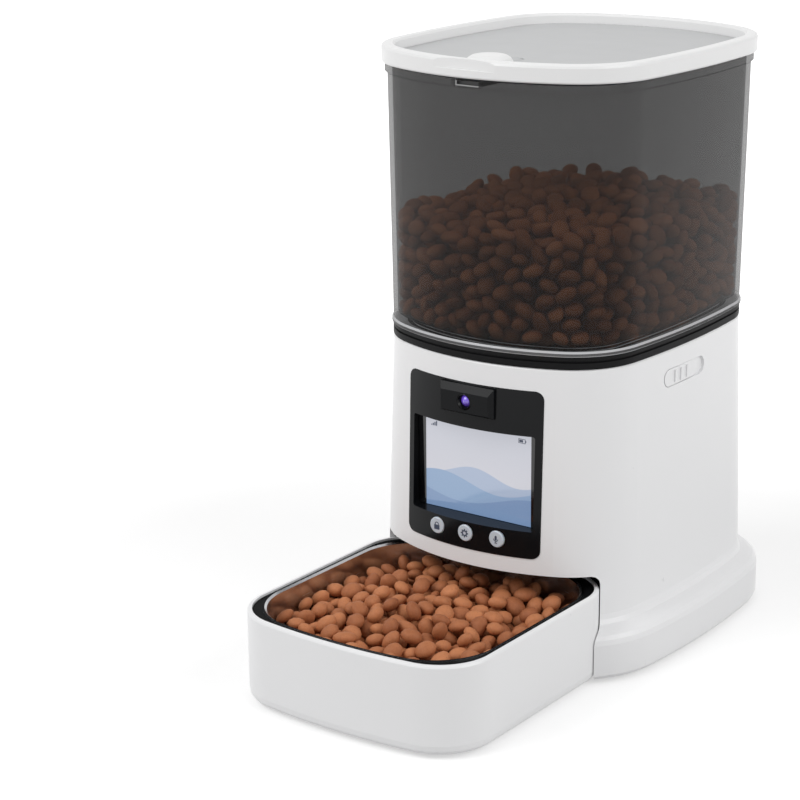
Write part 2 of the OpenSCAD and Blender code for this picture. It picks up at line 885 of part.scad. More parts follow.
module hopper() {
    foot_z = chamber_z + 2;
    outer = [[-plug_in, foot_z], [-plug_in, seal_top + 0.2], [0.5, seal_top + 0.2], [0.9, seal_top + 0.7],
        [0.9, seal_top + 2.2], [0, seal_top + 3.2], [hopper_out, hopper_top - 5.6],
        [hopper_out + 1.5, hopper_top - 4.4], [hopper_out + 1.5, hopper_top - 0.6],
        [hopper_out + 0.9, hopper_top]];
    inner = [[-plug_in - hopper_wall, foot_z - 1], [-plug_in - hopper_wall, seal_top + 2.4],
        [-hopper_wall, seal_top + 6], [hopper_out - hopper_wall, hopper_top + 1]];
    rear = -front_y(lug_x + lug_w, hopper_out - hopper_wall / 2);
    color([0.2, 0.2, 0.2, 0.45])
        difference() {
            union() {
                difference() {
                    tower_solid(outer);
                    tower_solid(inner);
                }
                // Catches under the side latches
                for (s = [-1, 1])
                    mirror([s < 0 ? 1 : 0, 0, 0])
                        block([side_x(14, -plug_in - 1), 4, latch_z - 5.5],
                            [side_x(0, -plug_in) + 3.4, 14, latch_z - 2.5]);
                // Hinge lugs at the back of the rim
                for (s = [-1, 1])
                    mirror([s < 0 ? 1 : 0, 0, 0])
                        along_x(lug_x, lug_x + lug_w)
                            union() {
                                polygon([[rear, hinge_z - 13], [hinge_y + hinge_r, hinge_z - 9],
                                    [hinge_y + hinge_r, hinge_z], [hinge_y - hinge_r, hinge_z],
                                    [hinge_y - hinge_r, lid_z - 0.8], [rear, lid_z - 0.8]]);
                                translate([hinge_y, hinge_z])
                                    circle(hinge_r);
                            }
            }
            along_x(-half_w, half_w)
                translate([hinge_y, hinge_z])
                    circle(pin_r + 0.05);
            // Slot for the lid's tongue
            block([-9, -half_d - 20, tongue_z - 0.6], [9, -half_d + 20, tongue_z + tongue_h + 0.6]);
        }
}

module hopper_seal() {
    color([0.04, 0.04, 0.04])
        difference() {
            tower_solid([[0, shoulder_z], [0.2, shoulder_z + 0.6], [0.2, shoulder_z + 3.6],
                [-0.9, shoulder_z + 4], [-0.9, shoulder_z + 4.6], [0.2, shoulder_z + 5], [0.2, seal_top]]);
            tower_solid([[gap - plug_in, shoulder_z - 1], [gap - plug_in, seal_top + 1]]);
        }
}

module funnel() {
    skin = chamber_top - chamber_rim;
    lip = -plug_in - hopper_wall - gap;
    reach = 100;
    rise = funnel_slope * reach;
    color([0.06, 0.06, 0.065])
        intersection() {
            tower_solid([[lip, chamber_z], [lip, seal_top + 2]]);
            rotate_extrude()
                polygon([[chamber_r, chamber_top], [chamber_r + reach, chamber_top + rise],
                    [chamber_r + reach, chamber_top + rise - skin],
                    [chamber_r + chamber_t, chamber_rim], [chamber_r, chamber_rim]]);
        }
}

module dosing_chamber() {
    color([0.06, 0.06, 0.065])
        difference() {
            translate([0, 0, chamber_z])
                cylinder(r = chamber_r + chamber_t, h = chamber_rim - chamber_z);
            translate([0, 0, chamber_z + chamber_t])
                cylinder(r = chamber_r, h = through);
            cylinder(r = 7, h = through);
            // Outlet over the chute
            intersection() {
                difference() {
                    cylinder(r = outlet_out, h = chamber_z + chamber_t + 0.5);
                    cylinder(r = outlet_in, h = through);
                }
                linear_extrude(through)
                    polygon([[0, 0], [-90 * sin(outlet_half), -90 * cos(outlet_half)],
                        [90 * sin(outlet_half), -90 * cos(outlet_half)]]);
            }
        }
}

module outlet_cover() {
    rise = 2.5;
    color([0.1, 0.1, 0.105])
        intersection() {
            translate([0, 0, chamber_top + rise])
                cylinder(r = chamber_r + rise / funnel_slope - gap, h = 2.2);
            linear_extrude(through)
                polygon([[-80, 14], [-80, -80], [80, -80], [80, 14]]);
        }
}

module rotor_hub() {
    color([0.85, 0.85, 0.84])
        difference() {
            union() {
                translate([0, 0, rotor_z])
                    cylinder(r = 11, h = vane_h);
                translate([0, 0, rotor_z + vane_h])
                    cylinder(r1 = 11, r2 = 7, h = 2.2);
            }
            translate([0, 0, rotor_z - 1])
                cylinder(d = (hex_af + 0.6) / cos(30), h = 12.5, $fn = 6);
        }
}

module rotor_vanes() {
    color([0.75, 0.76, 0.78])
        difference() {
            union() {
                translate([0, 0, rotor_z + 0.2])
                    cylinder(r = 13.2, h = vane_h - 0.4);
                for (i = [0:vane_count - 1])
                    rotate([0, 0, 360 * i / vane_count])
                        translate([10, -1.2, rotor_z + 0.2])
                            cube([chamber_r - 11.4, 2.4, vane_h - 0.4]);
            }
            cylinder(r = 11.05, h = through);
        }
}

module hinge_pin() {
    color("silver")
        along_x(-lug_x - lug_w, lug_x + lug_w)
            translate([hinge_y, hinge_z])
                circle(pin_r);
}

module lid_frame() {
    outer = [[lid_out - 0.8, lid_z], [lid_out - 0.1, lid_z + 0.8], [lid_out, total_h - 1.8],
        [lid_out - 0.5, total_h - 0.6], [lid_out - 1.6, total_h]];
    inner = [[-ledge_in, lid_z - 1], [-ledge_in, inset_z], [-2.2, inset_z], [-1.8, total_h - 1.2],
        [-0.6, total_h + 0.2]];
    grip_r = 600;
    color([0.9, 0.9, 0.9])
        difference() {
            union() {
                difference() {
                    tower_solid(outer);
                    tower_solid(inner);
                }
                along_x(-knuckle_half, knuckle_half)
                    union() {
                        translate([hinge_y, hinge_z])
                            circle(hinge_r);
                        translate([hinge_y - 2.4, hinge_z])
                            square([4.8, 2 * hinge_r], center = true);
                    }
            }
            along_x(-half_w, half_w)
                translate([hinge_y, hinge_z])
                    circle(pin_r + run_gap);
            // Shallow finger grip in the front of the rim
            translate([0, -half_d - lid_out - grip_r + 1.8, total_h - 5.6])
                cylinder(r = grip_r, h = 10);
        }
}

module lid_panel() {
    color([0.72, 0.72, 0.72])
        difference() {
            tower_solid([[-2.6, inset_z], [-2.6, inset_top]]);
            block([-5.5, tab_y - 11, 0], [5.5, tab_y - 3.6, total_h]);
            // Ring mark behind the knob
            translate([0, tab_y + 25, inset_top - 0.4])
                difference() {
                    cylinder(r = 5, h = 1);
                    cylinder(r = 3.6, h = 1);
                }
        }
}

module lid_seal() {
    off = hopper_out - hopper_wall - 0.4;
    color([0.6, 0.6, 0.6])
        difference() {
            tower_solid([[off - 0.4, lid_z - 1.8], [off, lid_z - 1], [off, lid_z]]);
            tower_solid([[off - 2.6, lid_z - 4], [off - 2.6, lid_z + 1]]);
        }
}

module desiccant_case() {
    color([0.88, 0.88, 0.88])
        translate([0, case_y, inset_z])
            mirror([0, 0, 1])
                difference() {
                    turned(case_r, [[0, 0], [0, 14.5], [-1.5, 16]]);
                    translate([0, 0, -1])
                        cylinder(r = case_r - 1.6, h = 15.4);
                    for (i = [0:11])
                        rotate([0, 0, 30 * i])
                            translate([16, 0, 0])
                                cylinder(r = 1.8, h = 30);
                }
}

module desiccant_bag() {
    color([0.93, 0.93, 0.9])
        translate([0, case_y, inset_z - 14.4])
            turned(case_r - 3, [[-2, 0], [0, 2], [0, 7], [-2, 9]]);
}

module lid_latch() {
    stem = tab_y - 8;
    knob = total_h - inset_top - gap - 0.2;
    tip = -front_y(9, hopper_out - hopper_wall) - 0.6;
    color([0.92, 0.92, 0.92]) {
        translate([0, tab_y, inset_top + gap])
            turned(tab_r, [[0, 0], [0, 0.3 * knob], [-0.1 * tab_r, 0.68 * knob], [-0.26 * tab_r, 0.92 * knob],
                [-0.4 * tab_r, knob]]);
        block([-5, stem, tongue_z], [5, stem + 4, inset_top + gap + 0.5]);
        block([-8.5, -tip, tongue_z], [8.5, stem + 4, tongue_z + tongue_h]);
    }
}

module tray() {
    color([0.87, 0.87, 0.86])
        difference() {
            tray_solid([[-4.6, 2], [-2, 2.9], [-0.5, 5], [0, 8], [0, tray_h - 1.4], [-0.5, tray_h - 0.4],
                [-1.3, tray_h]]);
            tray_solid([[-tray_wall, 5], [-tray_wall, tray_h + 1]]);
        }
}

module tray_feet() {
    color([0.1, 0.1, 0.1])
        for (p = tray_foot_spots)
            translate([p[0], p[1], 0])
                turned(6, [[-0.6, 0], [0, 0.6], [0, 2]]);
}

module bowl_seat() {
    top = tray_h - bowl_drop - 1;
    out = -tray_wall - gap;
    color([0.03, 0.03, 0.03])
        difference() {
            tray_solid([[out, 5], [out, top]]);
            tray_solid([[out - 1.8, 4], [out - 1.8, top - 2.5]]);
            tray_solid([[gap - bowl_in, 4], [gap - bowl_in, top + 1]], bowl_round);
        }
}

module bowl() {
    seat = tray_h - bowl_drop - 1;
    low = 7.6;
    inside = -bowl_in - bowl_t;
    color([0.8, 0.81, 0.82])
        difference() {
            tray_solid([[-bowl_in - 2.6, low], [-bowl_in - 1.4, low + 0.8], [-bowl_in - 0.4, low + 3.4],
                [-bowl_in, low + 7.4], [-bowl_in, seat], [1.4 - bowl_in, seat], [1.4 - bowl_in, seat + 1]],
                bowl_round);
            tray_solid([[inside - 2.1, low + 1], [inside - 1.3, low + 1.8], [inside - 0.4, low + 4],
                [inside, low + 7.8], [inside, seat], [0.4 - bowl_in, seat + 1.1]], bowl_round);
        }
}

place() housing();
place() base_plate();
place() bay_liner();
place() deck();
place() chute();
place() feet();
place() base_screws();
place() deck_screws();
place() front_panel();
place() camera_hood();
place() camera_ring();
place() camera_lens();
place() camera_board();
place() display_glass();
place() display_module();
place() main_board();
place() control_board();
place() button_lock();
place() button_set();
place() button_talk();
place() speaker();
place() gearbox();
place() motor();
place() gearbox_screws();
place() drive_shaft();
place() power_socket();
place() battery_box();
place() battery_contacts();
place() battery_cells();
place() battery_cover();
place() battery_screw();
place() hopper_latch_left();
place() hopper_latch_right();
place() hopper();
place() hopper_seal();
place() funnel();
place() dosing_chamber();
place() outlet_cover();
place() rotor_hub();
place() rotor_vanes();
place() hinge_pin();
place() lid_frame();
place() lid_panel();
place() lid_seal();
place() desiccant_case();
place() desiccant_bag();
place() lid_latch();
place() tray();
place() tray_feet();
place() bowl_seat();
place() bowl();
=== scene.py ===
import json
import math

import bmesh
import bpy
import numpy as np
from bpy.props import FloatProperty, FloatVectorProperty, IntProperty, PointerProperty
from bpy.types import NodeSocket, Operator, Panel, PropertyGroup
from mathutils import Euler, Matrix, Vector


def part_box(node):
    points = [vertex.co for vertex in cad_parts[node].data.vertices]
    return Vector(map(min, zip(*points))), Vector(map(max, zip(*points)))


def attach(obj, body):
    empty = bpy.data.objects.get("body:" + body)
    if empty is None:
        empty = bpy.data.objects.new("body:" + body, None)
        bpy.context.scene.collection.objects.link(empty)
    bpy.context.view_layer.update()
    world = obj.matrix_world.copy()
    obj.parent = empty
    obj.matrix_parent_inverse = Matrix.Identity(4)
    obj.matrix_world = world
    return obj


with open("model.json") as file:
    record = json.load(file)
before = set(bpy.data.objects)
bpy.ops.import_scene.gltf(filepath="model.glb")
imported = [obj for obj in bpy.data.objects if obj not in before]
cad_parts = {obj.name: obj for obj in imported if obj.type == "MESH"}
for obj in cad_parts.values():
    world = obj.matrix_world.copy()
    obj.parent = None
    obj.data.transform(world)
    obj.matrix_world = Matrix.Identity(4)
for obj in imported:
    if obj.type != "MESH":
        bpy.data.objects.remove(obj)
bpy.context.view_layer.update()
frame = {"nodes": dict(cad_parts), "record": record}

bl_info = {
    "name": "Pet feeder finishes",
    "version": (1, 0, 0),
    "blender": (4, 5, 0),
    "location": "View3D > Sidebar > Feeder",
    "description": "Finishes, dry food, screen picture and stage for a pet feeder with a camera",
    "category": "Object",
}

NODES = frame["nodes"]
WHITE, BLACK = (1.0, 1.0, 1.0), (0.0, 0.0, 0.0)
# Middle of the tower in y; this and all other lengths are in metres
TOWER_Y = 0.055


def tint(red, green, blue):
    """A colour written as 0 to 255, as linear light by the sRGB curve."""
    steps = [c / 255 for c in (red, green, blue)]
    return tuple(c / 12.92 if c <= 0.04045 else ((c + 0.055) / 1.055) ** 2.4 for c in steps)


def colour_setting(label, text, red, green, blue):
    return FloatVectorProperty(
        name=label, description=text, default=tint(red, green, blue), min=0.0, max=1.0, size=3,
        subtype="COLOR"
    )


def length_setting(label, text, value, least=0.0):
    return FloatProperty(
        name=label, description=text, default=value, min=least, unit="LENGTH", precision=4
    )


class FeederFinish(PropertyGroup):
    """Colours of the moulded, metal and rubber parts"""

    shell: colour_setting("Shell", "White plastic of the housing and the tray", 237, 237, 238)
    lid: colour_setting("Lid rim", "White plastic of the lid's frame", 236, 236, 236)
    inset: colour_setting("Lid inset", "Pale grey plate in the lid", 187, 188, 189)
    smoke: colour_setting("Hopper", "Tint of the see-through hopper", 24, 23, 23)
    # Pale colour painted on the hopper bead's chamfers: a painted highlight, not a pale material
    edge: colour_setting("Hopper edge", "Light gathered in the hopper's lower bead", 196, 197, 199)
    gloss: colour_setting("Front panel", "Glossy black of the front panel", 17, 18, 20)
    matt: colour_setting("Black parts", "Matt black of the liner, funnel and bowl seat", 12, 12, 13)
    rubber: colour_setting("Rubber", "Feet and the seal under the hopper", 20, 20, 21)
    steel: colour_setting("Bowl", "Polished steel of the bowl", 205, 206, 208)
    key: colour_setting("Buttons", "Pale plastic of the push buttons", 206, 211, 219)
    mark: colour_setting("Button symbols", "Ink of the button symbols", 58, 70, 92)
    lens: colour_setting("Lens", "Coated glass of the camera", 44, 26, 92)


class FeederScreen(PropertyGroup):
    """Size and colours of the lit picture"""

    width: length_setting("Lit width", "Width of the lit part of the screen", 0.0716)
    height: length_setting("Lit height", "Height of the lit part of the screen", 0.0531)
    rise: length_setting(
        "Lit middle", "Height of the lit part's middle above the screen's middle", -0.0009, least=-0.01
    )
    sky: colour_setting("Sky", "Sky of the standby picture", 208, 211, 222)
    haze: colour_setting("Haze", "Sky just above the hills", 226, 224, 231)
    far: colour_setting("Far hills", "Palest range of hills", 166, 186, 216)
    middle: colour_setting("Middle hills", "Second range of hills", 120, 162, 206)
    near: colour_setting("Near hills", "Darkest range of hills", 84, 134, 188)


class FeederFood(PropertyGroup):
    """Size, level and colours of the dry food"""

    length: length_setting("Kibble length", "Longest side of a piece of dry food", 0.0118)
    seed: IntProperty(name="Seed", description="Start of the random packing", default=7, min=0)
    store_level: length_setting("Hopper level", "Height of the food at the hopper's walls", 0.2485)
    store_heap: length_setting("Hopper heap", "Rise of the heap in the hopper", 0.008)
    bowl_level: length_setting("Bowl level", "Height of the food at the bowl's walls", 0.0425)
    bowl_heap: length_setting("Bowl heap", "Rise of the heap below the chute", 0.006)
    pale: colour_setting("Pale kibble", "Colour of the palest pieces", 204, 134, 90)
    dark: colour_setting("Dark kibble", "Colour of the darkest pieces", 150, 89, 55)


class FeederStage(PropertyGroup):
    """Camera and floor"""

    camera_at: FloatVectorProperty(
        name="Camera", description="Place of the camera", default=(0.68508, -1.03326, 0.51747), size=3,
        subtype="TRANSLATION", unit="LENGTH"
    )
    camera_dir: FloatVectorProperty(
        name="Camera direction", description="Direction that the camera looks in",
        default=(-0.54436389, 0.78759449, -0.2887263), size=3, subtype="DIRECTION"
    )
    focal: FloatProperty(
        name="Focal length", description="Focal length in millimetres", default=101.694, min=1.0
    )
    shift: FloatProperty(name="Shift", description="Sideways shift of the frame", default=-0.0938)
    floor: colour_setting("Floor", "Colour of the plain floor", 205, 205, 205)


def finish():
    return bpy.context.scene.feeder_finish


def screen():
    return bpy.context.scene.feeder_screen


def food():
    return bpy.context.scene.feeder_food


# Node groups and materials


def new_group(name, inputs, outputs):
    """An empty shader group with its sockets; inputs are (name, kind, default)."""
    group = bpy.data.node_groups.new(name, "ShaderNodeTree")
    for label, kind, default in inputs:
        socket = group.interface.new_socket(label, in_out="INPUT", socket_type="NodeSocket" + kind)
        socket.default_value = default
    for label, kind in outputs:
        group.interface.new_socket(label, in_out="OUTPUT", socket_type="NodeSocket" + kind)
    return group, group.nodes.new("NodeGroupInput"), group.nodes.new("NodeGroupOutput")


def add_node(tree, kind, settings=None, values=None):
    node = tree.nodes.new("ShaderNode" + kind)
    for name, value in (settings or {}).items():
        setattr(node, name, value)
    for name, value in (values or {}).items():
        node.inputs[name].default_value = value
    return node


def feed(tree, socket, value):
    """Links a source to a socket, or sets the socket to a number or a colour."""
    if isinstance(value, NodeSocket):
        tree.links.new(value, socket)
    else:
        socket.default_value = value if isinstance(value, (int, float)) else (*value, 1.0)


def add_maths(tree, operation, first, second=None, third=None, clamp=False):
    node = add_node(tree, "Math", {"operation": operation, "use_clamp": clamp})
    for socket, value in zip(node.inputs, (first, second, third)):
        if value is not None:
            feed(tree, socket, value)
    return node.outputs[0]


def add_blend(tree, share, first, second):
    """Mixes two colours by a share."""
    node = add_node(tree, "Mix", {"data_type": "RGBA"})
    for socket, value in ((node.inputs[0], share), (node.inputs[6], first), (node.inputs[7], second)):
        feed(tree, socket, value)
    return node.outputs[2]


def add_noise(tree, place, scale, detail=2.0, rough=0.5):
    node = add_node(tree, "TexNoise", None, {"Detail": detail, "Roughness": rough})
    tree.links.new(place, node.inputs["Vector"])
    feed(tree, node.inputs["Scale"], scale)
    return node.outputs[0]


def moulded_group():
    """Mould texture, faint colour drift and uneven roughness of moulded parts."""
    group, given, out = new_group(
        "Moulded surface",
        [("Colour", "Color", (0.8, 0.8, 0.8, 1)), ("Shade", "Color", (0.7, 0.7, 0.7, 1)),
         ("Grain", "Float", 1800.0), ("Rough", "Float", 0.35), ("Rough spread", "Float", 0.1),
         ("Drift", "Float", 0.5)],
        [("Colour", "Color"), ("Roughness", "Float"), ("Height", "Float")],
    )
    place = add_node(group, "TexCoord").outputs["Object"]
    drift = add_noise(group, place, scale=14.0, detail=4.0, rough=0.6)
    share = add_maths(group, "MULTIPLY", drift, given.outputs["Drift"], clamp=True)
    colour = add_blend(group, share, given.outputs["Colour"], given.outputs["Shade"])
    group.links.new(colour, out.inputs["Colour"])
    cloud = add_noise(group, place, scale=55.0, detail=5.0, rough=0.65)
    swing = add_maths(group, "SUBTRACT", cloud, 0.5)
    rough = add_maths(
        group, "MULTIPLY_ADD", swing, given.outputs["Rough spread"], given.outputs["Rough"], clamp=True
    )
    group.links.new(rough, out.inputs["Roughness"])
    grain = add_noise(group, place, scale=given.outputs["Grain"], detail=3.0, rough=0.6)
    group.links.new(grain, out.inputs["Height"])
    return group


def smear_group():
    """Faint finger smears on glossy parts."""
    group, given, out = new_group(
        "Smears",
        [("Rough", "Float", 0.1), ("Smear", "Float", 0.15), ("Scale", "Float", 40.0)],
        [("Roughness", "Float")],
    )
    place = add_node(group, "TexCoord").outputs["Object"]
    patch = add_noise(group, place, scale=given.outputs["Scale"], detail=6.0, rough=0.7)
    edge = add_node(
        group, "MapRange", {"interpolation_type": "SMOOTHSTEP"}, {"From Min": 0.5, "From Max": 0.72}
    )
    group.links.new(patch, edge.inputs["Value"])
    rough = add_maths(group, "MULTIPLY_ADD", edge.outputs[0], given.outputs["Smear"], given.outputs["Rough"])
    group.links.new(rough, out.inputs["Roughness"])
    return group


def polish_group():
    """Fine polishing lines of drawn steel."""
    group, given, out = new_group(
        "Polish lines",
        [("Rough", "Float", 0.25), ("Spread", "Float", 0.15)],
        [("Roughness", "Float"), ("Height", "Float")],
    )
    place = add_node(group, "TexCoord").outputs["Object"]
    stretch = add_node(group, "Mapping", None, {"Scale": (60.0, 60.0, 2600.0)})
    group.links.new(place, stretch.inputs["Vector"])
    lines = add_noise(group, stretch.outputs[0], scale=1.0, detail=3.0, rough=0.6)
    swing = add_maths(group, "SUBTRACT", lines, 0.5)
    rough = add_maths(group, "MULTIPLY_ADD", swing, given.outputs["Spread"], given.outputs["Rough"])
    group.links.new(rough, out.inputs["Roughness"])
    group.links.new(lines, out.inputs["Height"])
    return group


# Sharpness of the hills' edges, per metre
HILL_EDGE = 3000.0


def hill_group():
    """Soft mask below a wavy line across the screen."""
    group, given, out = new_group(
        "Hill line",
        [("Across", "Float", 0.0), ("Up", "Float", 0.0), ("Level", "Float", 0.0), ("Swell", "Float", 0.003),
         ("Waves", "Float", 60.0), ("Turn", "Float", 0.0)],
        [("Mask", "Float")],
    )
    across, up, level, swell, waves, turn = given.outputs[:6]
    wave = add_maths(group, "SINE", add_maths(group, "MULTIPLY_ADD", across, waves, turn))
    line = add_maths(group, "MULTIPLY_ADD", wave, swell, level)
    below = add_maths(group, "SUBTRACT", line, up)
    group.links.new(add_maths(group, "MULTIPLY_ADD", below, HILL_EDGE, 0.5, clamp=True), out.inputs["Mask"])
    return group


MAKERS = {
    "Moulded surface": moulded_group,
    "Smears": smear_group,
    "Polish lines": polish_group,
    "Hill line": hill_group,
}


def place_group(tree, name, **values):
    """Puts a shared group into a material, with its own values."""
    node = tree.nodes.new("ShaderNodeGroup")
    node.node_tree = bpy.data.node_groups.get(name) or MAKERS[name]()
    for label, value in values.items():
        feed(tree, node.inputs[label.replace("_", " ")], value)
    return node


def new_material(name, **values):
    """A material with a Principled shader, and plain numbers and colours set on its sockets."""
    material = bpy.data.materials.new(name)
    material.use_nodes = True
    tree = material.node_tree
    shader = tree.nodes["Principled BSDF"]
    for label, value in values.items():
        feed(tree, shader.inputs[label.replace("_", " ")], value)
    return material, tree, shader


def add_bump(tree, shader, height, strength, depth):
    bump = add_node(tree, "Bump", None, {"Strength": strength, "Distance": depth})
    tree.links.new(height, bump.inputs["Height"])
    tree.links.new(bump.outputs["Normal"], shader.inputs["Normal"])


def darker(colour, share):
    return tuple(c * share for c in colour)


# Depth of the mould texture
GRAIN_DEPTH = 0.0002


def moulded(name, colour, rough, spread=0.1, grain=1800.0, bump=0.12, shade=0.93, **values):
    """Moulded plastic or rubber with a fine mould texture; values are set on the shader's sockets."""
    material, tree, shader = new_material(name, **values)
    skin = place_group(
        tree, "Moulded surface", Colour=tuple(colour), Shade=darker(colour, shade), Grain=grain, Rough=rough,
        Rough_spread=spread
    )
    tree.links.new(skin.outputs["Colour"], shader.inputs["Base Color"])
    tree.links.new(skin.outputs["Roughness"], shader.inputs["Roughness"])
    add_bump(tree, shader, skin.outputs["Height"], strength=bump, depth=GRAIN_DEPTH)
    return material


def paint(material, *names):
    """Gives CAD nodes their material."""
    for name in names:
        if name not in NODES:
            raise RuntimeError(f"no node {name}")
        mesh = NODES[name].data
        mesh.materials.clear()
        mesh.materials.append(material)


def paint_slot(material, slot):
    """Gives all CAD nodes of a finish their material."""
    names = [part["node"] for part in frame["record"]["subparts"] if part["material_slot"] == slot]
    if not names:
        raise RuntimeError(f"no node takes the finish {slot}")
    paint(material, *names)


def mould_slots(rows):
    """Moulded finishes: slot, name, colour, roughness, its spread, grain, bump, shade and specular level."""
    for slot, name, colour, rough, spread, grain, bump, shade, shine in rows:
        paint_slot(moulded(name, colour, rough, spread, grain, bump, shade, Specular_IOR_Level=shine), slot)


def new_piece(name, shape, material, body):
    """Turns a bmesh into a named piece that rides on a body."""
    mesh = bpy.data.meshes.new(name)
    shape.to_mesh(mesh)
    shape.free()
    mesh.materials.append(material)
    piece = bpy.data.objects.new(name, mesh)
    bpy.context.scene.collection.objects.link(piece)
    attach(piece, body)


# Flat marks on the panel


def add_plate(shape, middle, size, corner=0.0):
    """A thin upright plate facing the front; middle and size are x, y, z."""
    made = bmesh.ops.create_cube(shape, size=1.0)["verts"]
    bmesh.ops.scale(shape, vec=size, verts=made)
    if corner:
        edges = dict.fromkeys(e for v in made for e in v.link_edges)
        deep = [e for e in edges if abs(e.verts[0].co.y - e.verts[1].co.y) > size[1] / 2]
        made = bmesh.ops.bevel(
            shape, geom=deep, offset=corner, segments=5, profile=0.5, affect="EDGES", material=-1
        )["verts"]
        made = list({v for start in made for f in start.link_faces for v in f.verts})
    bmesh.ops.translate(shape, vec=middle, verts=made)


# Degrees of an arc between its points
ARC_STEP = 10


def add_arc(shape, middle, radius, width, depth, start, turn):
    """Part of a flat ring facing the front, from an angle on through a turn, in degrees."""
    low, high = radius - width / 2, radius + width / 2
    corners = [shape.verts.new((r, y, 0)) for r, y in
               ((low, -depth / 2), (high, -depth / 2), (high, depth / 2), (low, depth / 2))]
    face = shape.faces.new(corners)
    lean = Matrix.Rotation(math.radians(-start), 3, "Y")
    bmesh.ops.rotate(shape, verts=corners, cent=(0, 0, 0), matrix=lean)
    before = set(shape.verts)
    bmesh.ops.spin(
        shape, geom=[face, *face.edges, *corners], cent=(0, 0, 0), axis=(0, 1, 0), angle=math.radians(-turn),
        steps=turn // ARC_STEP, use_merge=turn == 360
    )
    made = [v for v in shape.verts if v not in before] + [v for v in corners if v.is_valid]
    bmesh.ops.translate(shape, vec=middle, verts=made)


def close_shape(shape):
    """Merges doubled points and turns the faces outwards."""
    bmesh.ops.remove_doubles(shape, verts=shape.verts, dist=1e-7)
    bmesh.ops.recalc_face_normals(shape, faces=shape.faces)
    return shape


# Dry food

# Longest side of a kibble over its radius in the packing
LENGTH_OVER_RADIUS = 2.25
# Height of a kibble over its width
SQUASH = 0.78
# Least and greatest size over the usual one
SIZES = (0.9, 1.08)
# Least and greatest length, width and height over the size
SIDES = ((1.06, 1.28), (0.9, 1.06), (0.8, 0.98))
# Spread of the tilt and range of the turn, in radians
TILT, TURN = 0.5, 6.28
# Places tried for a kibble, and kibbles without a place after which the heap is full
TRIALS, MISSES = 48, 50
# A place this near to the edge of the plan moves to the edge
EDGE_REACH = 0.006
# A kibble this near to the wall moves up to it, but for a gap
WALL_REACH, WALL_GAP = 0.0035, 0.0003
# A kibble this far behind the wall and below the top isn't seen, so it is coarser
HIDDEN_BEHIND, HIDDEN_BELOW = 0.026, 0.022


def kibble_radius():
    return food().length / LENGTH_OVER_RADIUS


def settle(rng, draw, floor, level, radius):
    """Drops kibbles one by one, each into the lowest of some trial places, until they reach a level."""
    placed = np.zeros((0, 4))
    misses = 0
    while misses < MISSES:
        size = radius * rng.uniform(*SIZES)
        spots = draw(rng, TRIALS)
        rest = floor(spots) + SQUASH * size
        if len(placed):
            across = ((spots[:, None, :] - placed[None, :, :2]) ** 2).sum(2)
            room = (placed[:, 3] + size)[None, :] ** 2 - across
            top = placed[None, :, 2] + SQUASH * np.sqrt(np.maximum(room, 0))
            rest = np.maximum(rest, np.where(room > 0, top, 0).max(1))
        over = rest - level(spots)
        best = int(over.argmin())
        if over[best] > 0:
            misses += 1
            continue
        placed = np.vstack([placed, [*spots[best], rest[best], size]])
    return placed


def kibble_ball(steps):
    """A smooth ball to squash into a kibble, with a tone on its points."""
    ball = bmesh.new()
    ball.verts.layers.float.new("tone")
    bmesh.ops.create_icosphere(ball, subdivisions=steps, radius=1.0)
    for face in ball.faces:
        face.smooth = True
    return ball


def kibble_shape(rng, placed, floor, level, room):
    """Flattened kibbles, each with its own tone; those next to the wall lean on it."""
    coarse, fine = (kibble_ball(steps) for steps in (1, 2))
    skin = np.array([v.co for v in fine.verts])
    shape = bmesh.new()
    carrier = bpy.data.meshes.new("kibble")
    for *spot, size in placed:
        spot = np.array(spot)
        tilt = Euler((rng.normal(0, TILT), rng.normal(0, TILT), rng.uniform(0, TURN))).to_matrix()
        long, wide, high = (rng.uniform(*limits) for limits in SIDES)
        form = size * np.array(tilt @ Matrix.Diagonal((long, wide, SQUASH * high)))
        points = skin @ form.T + spot
        clear = room(points).min()
        if clear < WALL_REACH:
            spot[:2] -= uphill(room, spot[None])[0] * (clear - WALL_GAP)
            points = skin @ form.T + spot
        spot[2] += max(0.0, (floor(points[:, :2]) - points[:, 2]).max())
        hidden = clear > HIDDEN_BEHIND and spot[2] < level(spot[None, :2])[0] - HIDDEN_BELOW
        piece = (coarse if hidden else fine).copy()
        place = Matrix.Translation(spot) @ Matrix(form.tolist()).to_4x4()
        bmesh.ops.transform(piece, matrix=place, verts=piece.verts)
        shade = rng.uniform(0, 1)
        tone = piece.verts.layers.float["tone"]
        for vert in piece.verts:
            vert[tone] = shade
        piece.to_mesh(carrier)
        piece.free()
        shape.from_mesh(carrier)
    bpy.data.meshes.remove(carrier)
    coarse.free()
    fine.free()
    return shape


